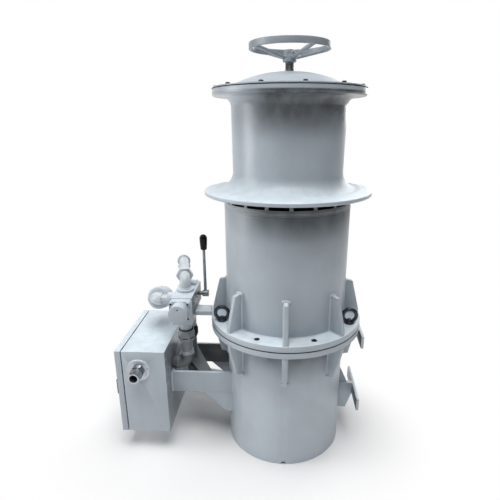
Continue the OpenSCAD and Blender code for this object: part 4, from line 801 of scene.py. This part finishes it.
# The rear arm's front, the pads' inner faces and the cabinet's right wall are darker: painted shade.
softened("rear_arm", stand_paint, 1.2, [grime_and_deep_shade_paint], lambda p: p.y < REAR_FRONT + 0.5)
softened("side_pads", stand_paint, 1.2, [grime_and_deep_shade_paint], lambda p: p.x < PAD_FACE + 0.5)
softened("cabinet", sheet_paint, 2.0, [mid_shade_paint], lambda p: p.x > CABINET_RIGHT - 0.5)
softened("upper_flange", stand_paint, 1.6, [bare_and_shade_dark], in_hole)
softened("lower_flange", stand_paint, 1.6, [bare_and_shade_dark], in_hole)
softened("inlet_fitting", zinc, 0.8, [pipe_paint, bare_and_shade_dark], inlet_finish)

# %% [markdown]
# Between the two flanges lies a rubber ring. The bolts squeeze it, so it stands out of the joint a little and
# shows as a black line all round.

# %% The ring between the flanges
JOINT, EDGE = sum(ends_of("flange_gasket", Z)) / 2, ends_of("upper_flange", X)[1]
squeezed = spun("flange_ring", [
    (232, JOINT - 1), (EDGE - 2, JOINT - 1.2), (EDGE + 0.1, JOINT - 1.9), (EDGE + 0.7, JOINT),
    (EDGE + 0.1, JOINT + 1.9), (EDGE - 2, JOINT + 1.2), (232, JOINT + 1)], 192)
seat(squeezed, "flange_gasket", black_rubber, ("flange_gasket",))
print("flange edge at", EDGE, "mm")

# %% [markdown]
# The stand is welded. A fillet bead is a row of ripples, each laid half over the one before, and its paint is
# paler than the plate's, a painted highlight that shows as a pale line in every corner. Each bead follows a
# path of corner points. The tree turns the paths into curves, swells and thins a round section along them,
# and makes one mesh of all.

# %% A bead that follows a path
def bead_tree():
    """The tree that lays a rippled bead along every edge path of its own mesh."""
    group, tree, given, result = node_group("lay_bead_on_path", {
        "Path": "Geometry", "Bead radius": "Float", "Ripple length": "Float", "Ripple swell": "Float",
        "Uneven swell": "Float", "Finish": "Material"}, "Beads")
    curve = tree.node("GeometryNodeMeshToCurve", {}, {0: given["Path"]})
    steps = tree.node("GeometryNodeResampleCurve", {"mode": "LENGTH"}, {
        "Curve": curve, "Length": given["Ripple length"] * 0.34})
    along = tree.node("GeometryNodeSplineParameter", {}, {}, "Length")
    cloud = tree.node("ShaderNodeTexNoise", {}, {"Scale": 90.0})
    ripple = (along / given["Ripple length"] * (2 * math.pi)).sine() * given["Ripple swell"]
    uneven = (cloud - 0.5) * given["Uneven swell"]
    swell = tree.node("GeometryNodeSetCurveRadius", {}, {"Curve": steps, "Radius": ripple + uneven + 1.0})
    section = tree.node("GeometryNodeCurvePrimitiveCircle", {}, {
        "Resolution": 8, "Radius": given["Bead radius"]})
    tube = tree.node("GeometryNodeCurveToMesh", {}, {
        "Curve": swell, "Profile Curve": section, "Fill Caps": True})
    tree.feed(result, finished(tree, tube, given["Finish"]))
    return group


BEAD = bead_tree()


def beads(name, paths, radius, node, ripple=5.0, finish=bead_paint):
    """Weld beads along paths of corner points in millimetres, on the body of the node."""
    mesh = bpy.data.meshes.new(name)
    points, edges = [], []
    for path in paths:
        start = len(points)
        points += [tuple(v * MM for v in point) for point in path]
        edges += [(start + i, start + i + 1) for i in range(len(path) - 1)]
    mesh.from_pydata(points, edges, [])
    piece = as_object(name, mesh)
    grown(piece, BEAD, {
        "Bead radius": radius * MM, "Ripple length": ripple * MM, "Ripple swell": 0.16,
        "Uneven swell": 0.7, "Finish": finish}, 60)
    seat(piece, node, finish)
    print(name, len(paths), "beads,", len(piece.data.polygons), "faces")


# %% [markdown]
# A welder runs each gusset from the tip of its foot along the flange, up the casing, and down the other
# side, and closes its top with one short heavy bead that is wider than the plate.

# %% The gussets' beads
HALF_PLATE, REACH, TALL = 8.0, 54.0, 140.0


def on_casing(turn, aside, z, out=0.0):
    """A point near the plate that stands on the casing at a turn: aside from it and out from the casing."""
    a = math.radians(turn)
    r = math.sqrt((CASING + out) ** 2 - aside ** 2)
    return (r * math.cos(a) - aside * math.sin(a), r * math.sin(a) + aside * math.cos(a), z)


fillets, caps = [], []
for turn in range(0, 360, 45):
    for level, up in ((DECK, 1), (UNDER, -1)):
        for side in (-HALF_PLATE, HALF_PLATE):
            fillets.append([on_casing(turn, side, level + up * rise, out) for rise, out in (
                (0, REACH), (0, REACH / 2), (0, 1), (TALL / 2, 0), (TALL - 2, 0))])
        caps.append([on_casing(turn, aside, level + up * (TALL - 1 - abs(aside) / 6), 1.5)
                     for aside in (-14, -7, 0, 7, 14)])
beads("gusset_beads", fillets, 3.2, "gussets")
beads("gusset_cap_beads", caps, 5.4, "gussets", 6.0)

# %% [markdown]
# The two flanges are welded to their tubes all round, and the head plate to the upper tube, where thin lines
# of filler show too. The frame's two arms end on the casing and on the cabinet's rail in upright beads, and
# the side pads' arm on the casing. One more bead runs round the inlet's boss. The joint of the supply pipe is
# smeared with collars of sealant, which are beads that wander up and down. All are paler: a painted highlight.

# %% The rings and the frame's beads
def around(steps):
    """The angles of one whole turn, both ends included, so that a circle of them closes."""
    return [2 * math.pi * k / steps for k in range(steps + 1)]


def round_bead(radius, z):
    return [(radius * math.cos(a), radius * math.sin(a), z) for a in around(90)]


def upright(x, y, low, high):
    return [(x, y, low), (x, y, (low + high) / 2), (x, y, high)]


def on_round(y, side):
    """How far left, with side -1, or right, with 1, the casing's wall is at a depth y."""
    return side * math.sqrt(CASING ** 2 - y ** 2)


beads("flange_beads", [round_bead(CASING, DECK), round_bead(CASING, UNDER)], 2.6, "upper_flange")
beads("head_seam_bead", [round_bead(CASING - 0.6, 970)], 1.7, "upper_casing", 4.0, line_paint)
filler_lines = [round_bead(CASING - 0.4, z) for z in (961, 980, 988)]
beads("head_lines", filler_lines, 0.9, "head_plate", 9.0, line_paint)
ARM_LOW, ARM_TOP = ends_of("front_arm", Z)
ARM_SIDES = ends_of("front_arm", Y) + ends_of("rear_arm", Y)
RAIL_OUT, RAIL_IN = ends_of("cabinet_rail", X)
PAD_ARM_LOW, PAD_ARM_TOP = ends_of("pad_arm", Z)[0], 216
frame_paths = [upright(on_round(y, -1), y, ARM_LOW, ARM_TOP) for y in ARM_SIDES]
frame_paths += [upright(RAIL_OUT + 1, y, ARM_LOW, ARM_TOP) for y in (ARM_SIDES[0], ARM_SIDES[3])]
frame_paths += [upright(RAIL_IN, y, ARM_LOW, ARM_TOP) for y in ARM_SIDES[1:3]]
frame_paths += [upright(on_round(y, 1), y, PAD_ARM_LOW, PAD_ARM_TOP) for y in ends_of("pad_arm", Y)]
beads("frame_beads", frame_paths, 3.0, "front_arm")
BOSS = round(ends_of("inlet_fitting", Z)[1] - INLET_Z)
inlet_y = ends_of("cabinet", Y)[0] - 0.5
inlet = [(INLET_X + BOSS * math.cos(a), inlet_y, INLET_Z + BOSS * math.sin(a)) for a in around(48)]
beads("inlet_bead", [inlet], 2.4, "cabinet", 4.0)
SUPPLY_X, SUPPLY_Y, SUPPLY_OUT = VENT_X, sum(ends_of("supply_pipe", Y)) / 2, 22.5
collars = [[(SUPPLY_X + SUPPLY_OUT * math.cos(a), SUPPLY_Y + SUPPLY_OUT * math.sin(a),
             height + 3.5 * math.sin(a + lean)) for a in around(24)]
           for height, lean in ((377, 0.0), (382, 2.1), (387, 4.0), (393, 1.2))]
beads("supply_joint_beads", collars, 2.0, "supply_pipe", 7.0)

# %% [markdown]
# What is inside the stand is never seen from outside, but it is dressed too, because the winch can be
# opened up on screen: gears and shafts in oiled steel, clutch plates in ground steel, bushes in bronze. The
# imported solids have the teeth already, so they only get a material.

# %% The hidden drive
INSIDE = {
    "sun_shaft": oiled, "ring_gear": oiled, "planet_gear_1": oiled, "planet_gear_2": oiled,
    "planet_gear_3": oiled, "planet_carrier": oiled, "clutch_plate": flat_steel, "pressure_plate": flat_steel,
    "drum_bushes": bronze,
}
for node, material in INSIDE.items():
    mesh = frame["nodes"][node].data
    mesh.materials.clear()
    mesh.materials.append(material)
print("inside:", ", ".join(INSIDE))

# %% [markdown]
# Four socket screws hold the valve's end cap. They were painted with it, and only their sockets are dark, as
# painted shade. Two bright plugs close drilled channels in the block's right side. All are the cover's screw
# again, drawn in other sizes and turned to face outwards. Two black rings in the union below the block are
# painted shade in its gaps.

# %% The valve's screws and plugs
def set_in(name, size, places, turn, finish, stands_for=()):
    """Screws of one size at several places, turned by a matrix, with sockets dark as painted shade."""
    made = []
    for place in places:
        one = screw(name, *size)
        one.data.transform(Matrix.Translation(Vector(place) * MM) @ turn)
        made.append(one)
    group = joined(name, made)
    seat(group, "valve_screws", [finish, bare_and_shade_dark], stands_for)
    axis = turn @ Vector((0, 0, 1))
    socket = size[-1] / 2 + 0.1
    for face in group.data.polygons:
        nearest = min((face.center / MM - Vector(place) for place in places), key=lambda way: way.length)
        off_axis = (nearest - axis * nearest.dot(axis)).length
        face.material_index = int(off_axis < socket)


(cap_left, cap_right), (cap_low, cap_high) = ends_of("valve_end_cap", X), ends_of("valve_end_cap", Z)
cap_places = [(x, -144, z) for x in (cap_left + 9, cap_right - 9) for z in (cap_low + 7.5, cap_high - 7.5)]
plug_places = [(BLOCK_RIGHT, y, 601) for y in (-68, -9)]
FRONTWARD = Matrix.Rotation(math.pi / 2, 4, "X")
RIGHTWARD = Matrix.Rotation(math.pi / 2, 4, "Y")
set_in("cap_screws", (13, 8, 8, 1, 7.4), cap_places, FRONTWARD, block_paint, ("valve_screws",))
set_in("channel_plugs", (10, 4, 8, 1, 4.6), plug_places, RIGHTWARD, zinc)
# Black rings at the union's gaps: painted shade.
UNION = ends_of("supply_pipe", Z)[1]
for name, low, high, out in (
        ("union_gap_shade", UNION + 0.2, UNION + 3, 27.5), ("union_line_shade", UNION - 31.4, UNION - 29.4, 31.6)):
    ring = spun(name, eased([(20, low, 0), (out, low, 0.8), (out, high, 0.8), (20, high, 0)], 3), 48)
    ring.data.transform(Matrix.Translation((SUPPLY_X * MM, SUPPLY_Y * MM, 0)))
    seat(ring, "union_nuts", black_rubber, ())
print("cap screws", len(cap_places), "plugs", len(plug_places))

# %% [markdown]
# The lever ends in a glossy black knob, narrow where it meets the rod and domed on top. It is spun from
# its section about the rod's own axis.

# %% The lever's grip
low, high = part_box("lever_grip")
lever_x, lever_y = (low.x + high.x) / 2, (low.y + high.y) / 2
tip, foot_z = high.z / MM, low.z / MM
NECK, KNOB = 12.2, 14.5
neck_z, dome_z = foot_z + 3, tip - KNOB
grip_line = [(0, foot_z), (10.5, foot_z), (11.6, foot_z + 0.8), (NECK, neck_z)]
for part in (k / 8 for k in range(1, 9)):
    grip_line.append((NECK + (KNOB - NECK) * math.sin(math.pi / 2 * part), neck_z + (dome_z - neck_z) * part))
for a in (math.pi / 2 * k / 10 for k in range(1, 10)):
    grip_line.append((KNOB * math.cos(a), dome_z + KNOB * math.sin(a)))
grip = spun("grip_knob", grip_line + [(0, tip)], 48)
grip.data.transform(Matrix.Translation((lever_x, lever_y, 0)))
seat(grip, "lever_grip", black_plastic, ("lever_grip",))
print("lever tip at", round(tip, 1), "mm")

# %% [markdown]
# The studio is white. The floor takes a soft shadow near the winch and fades to pure white away from it, so
# that no horizon shows. Only rays from the camera and mirrored rays see it glow: it lights nothing by itself,
# but as a pale floor it throws some of the lamps' light back up.

# %% The floor
def flat_sheet(name, size, place):
    """A square that lies level, with its middle at the place."""
    shape = bmesh.new()
    bmesh.ops.create_grid(shape, x_segments=1, y_segments=1, size=size / 2)
    bmesh.ops.translate(shape, vec=place, verts=shape.verts)
    return from_bmesh(name, shape)


floor = flat_sheet("floor", 60.0, (0, 0, -0.0005))
ground = Finish("floor_white", Roughness=0.9, Base_Color=(0.9, 0.9, 0.9, 1))
middle = ground.node("ShaderNodeVectorMath", {"operation": "ADD"}, {
    0: ground.place((1.7, 2.4, 1)), 1: (0.37, 0.1, 0)})
away = ground.node("ShaderNodeVectorMath", {"operation": "LENGTH"}, {0: middle}, "Value")
seen = (ground.ray("Camera") + ground.ray("Glossy") + ground.ray("Transmission")).at_most(1.0)
fade = ground.band(away, 0.75, 1.45) * seen
glow = ground.node("ShaderNodeEmission", {}, {"Color": (1, 1, 1, 1), "Strength": 1.0})
white = ground.node("ShaderNodeMixShader", {}, {0: fade, 1: Wire(ground, ground.shader.outputs[0]), 2: glow})
ground.feed(ground.nodes["Material Output"].inputs["Surface"], white)
floor.data.materials.append(ground.material)
print("floor nodes:", len(ground.nodes))

# %% [markdown]
# The sky is a dim room for every ray that lights the winch, and white for the camera. What the winch mirrors
# is white only in the direction straight behind it, where a studio's backdrop hangs. A wholly white sky would
# wash out the paint and the steel.

# %% The sky
world = bpy.data.worlds.new("studio")
bpy.context.scene.world = world
world.use_nodes = True
sky = Tree(world.node_tree)
room = sky.nodes["Background"]
sky.feed(room.inputs["Color"], (0.94, 0.97, 1.0, 1))
sky.feed(room.inputs["Strength"], 0.04)
backdrop = sky.node("ShaderNodeBackground", {}, {"Color": (1, 1, 1, 1), "Strength": 1.0})
way = sky.node("ShaderNodeTexCoord", {}, {}, "Generated")
behind = sky.band(sky.node("ShaderNodeSeparateXYZ", {}, {0: way}, "Y"), 0.5, 0.95)
mirrored = (sky.ray("Glossy") + sky.ray("Transmission")) * behind
pick = sky.node("ShaderNodeMixShader", {}, {
    0: (sky.ray("Camera") + mirrored).at_most(1.0), 1: Wire(sky, room.outputs[0]), 2: backdrop})
sky.feed(sky.nodes["World Output"].inputs["Surface"], pick)
print("sky nodes:", len(sky.nodes))

# %% [markdown]
# In the photograph most light falls from above and a little in front, so level faces are bright and each
# flange shades what is below it. A tall window stands at the left, and a weaker light comes from behind at
# the right. All three are large soft lamps, since a small one would draw hard shadows.

# %% The lamps
def lamp(name, place, target, size, power, tint=(1, 1, 1)):
    """A soft lamp that faces its target."""
    data = bpy.data.lights.new(name, "AREA")
    data.shape = "RECTANGLE"
    data.size, data.size_y = size
    data.energy = power
    data.color = tint
    light = bpy.data.objects.new(name, data)
    light.location = place
    light.rotation_euler = (Vector(target) - Vector(place)).to_track_quat("-Z", "Y").to_euler()
    bpy.context.scene.collection.objects.link(light)


lamp("ceiling", (0.0, -1.55, 5.8), (0, -1.55, 0), (3.6, 3.6), 300)
lamp("window_left", (-3.9, -0.45, 2.0), (0, 0, 0.8), (1.8, 3.3), 80, (1.0, 0.99, 0.98))
lamp("door_behind", (2.2, 3.9, 2.4), (0, 0, 0.8), (2.0, 2.4), 60, (0.97, 0.98, 1.0))
bpy.context.scene.view_settings.view_transform = "Standard"
print("lamps:", len(bpy.data.lights))
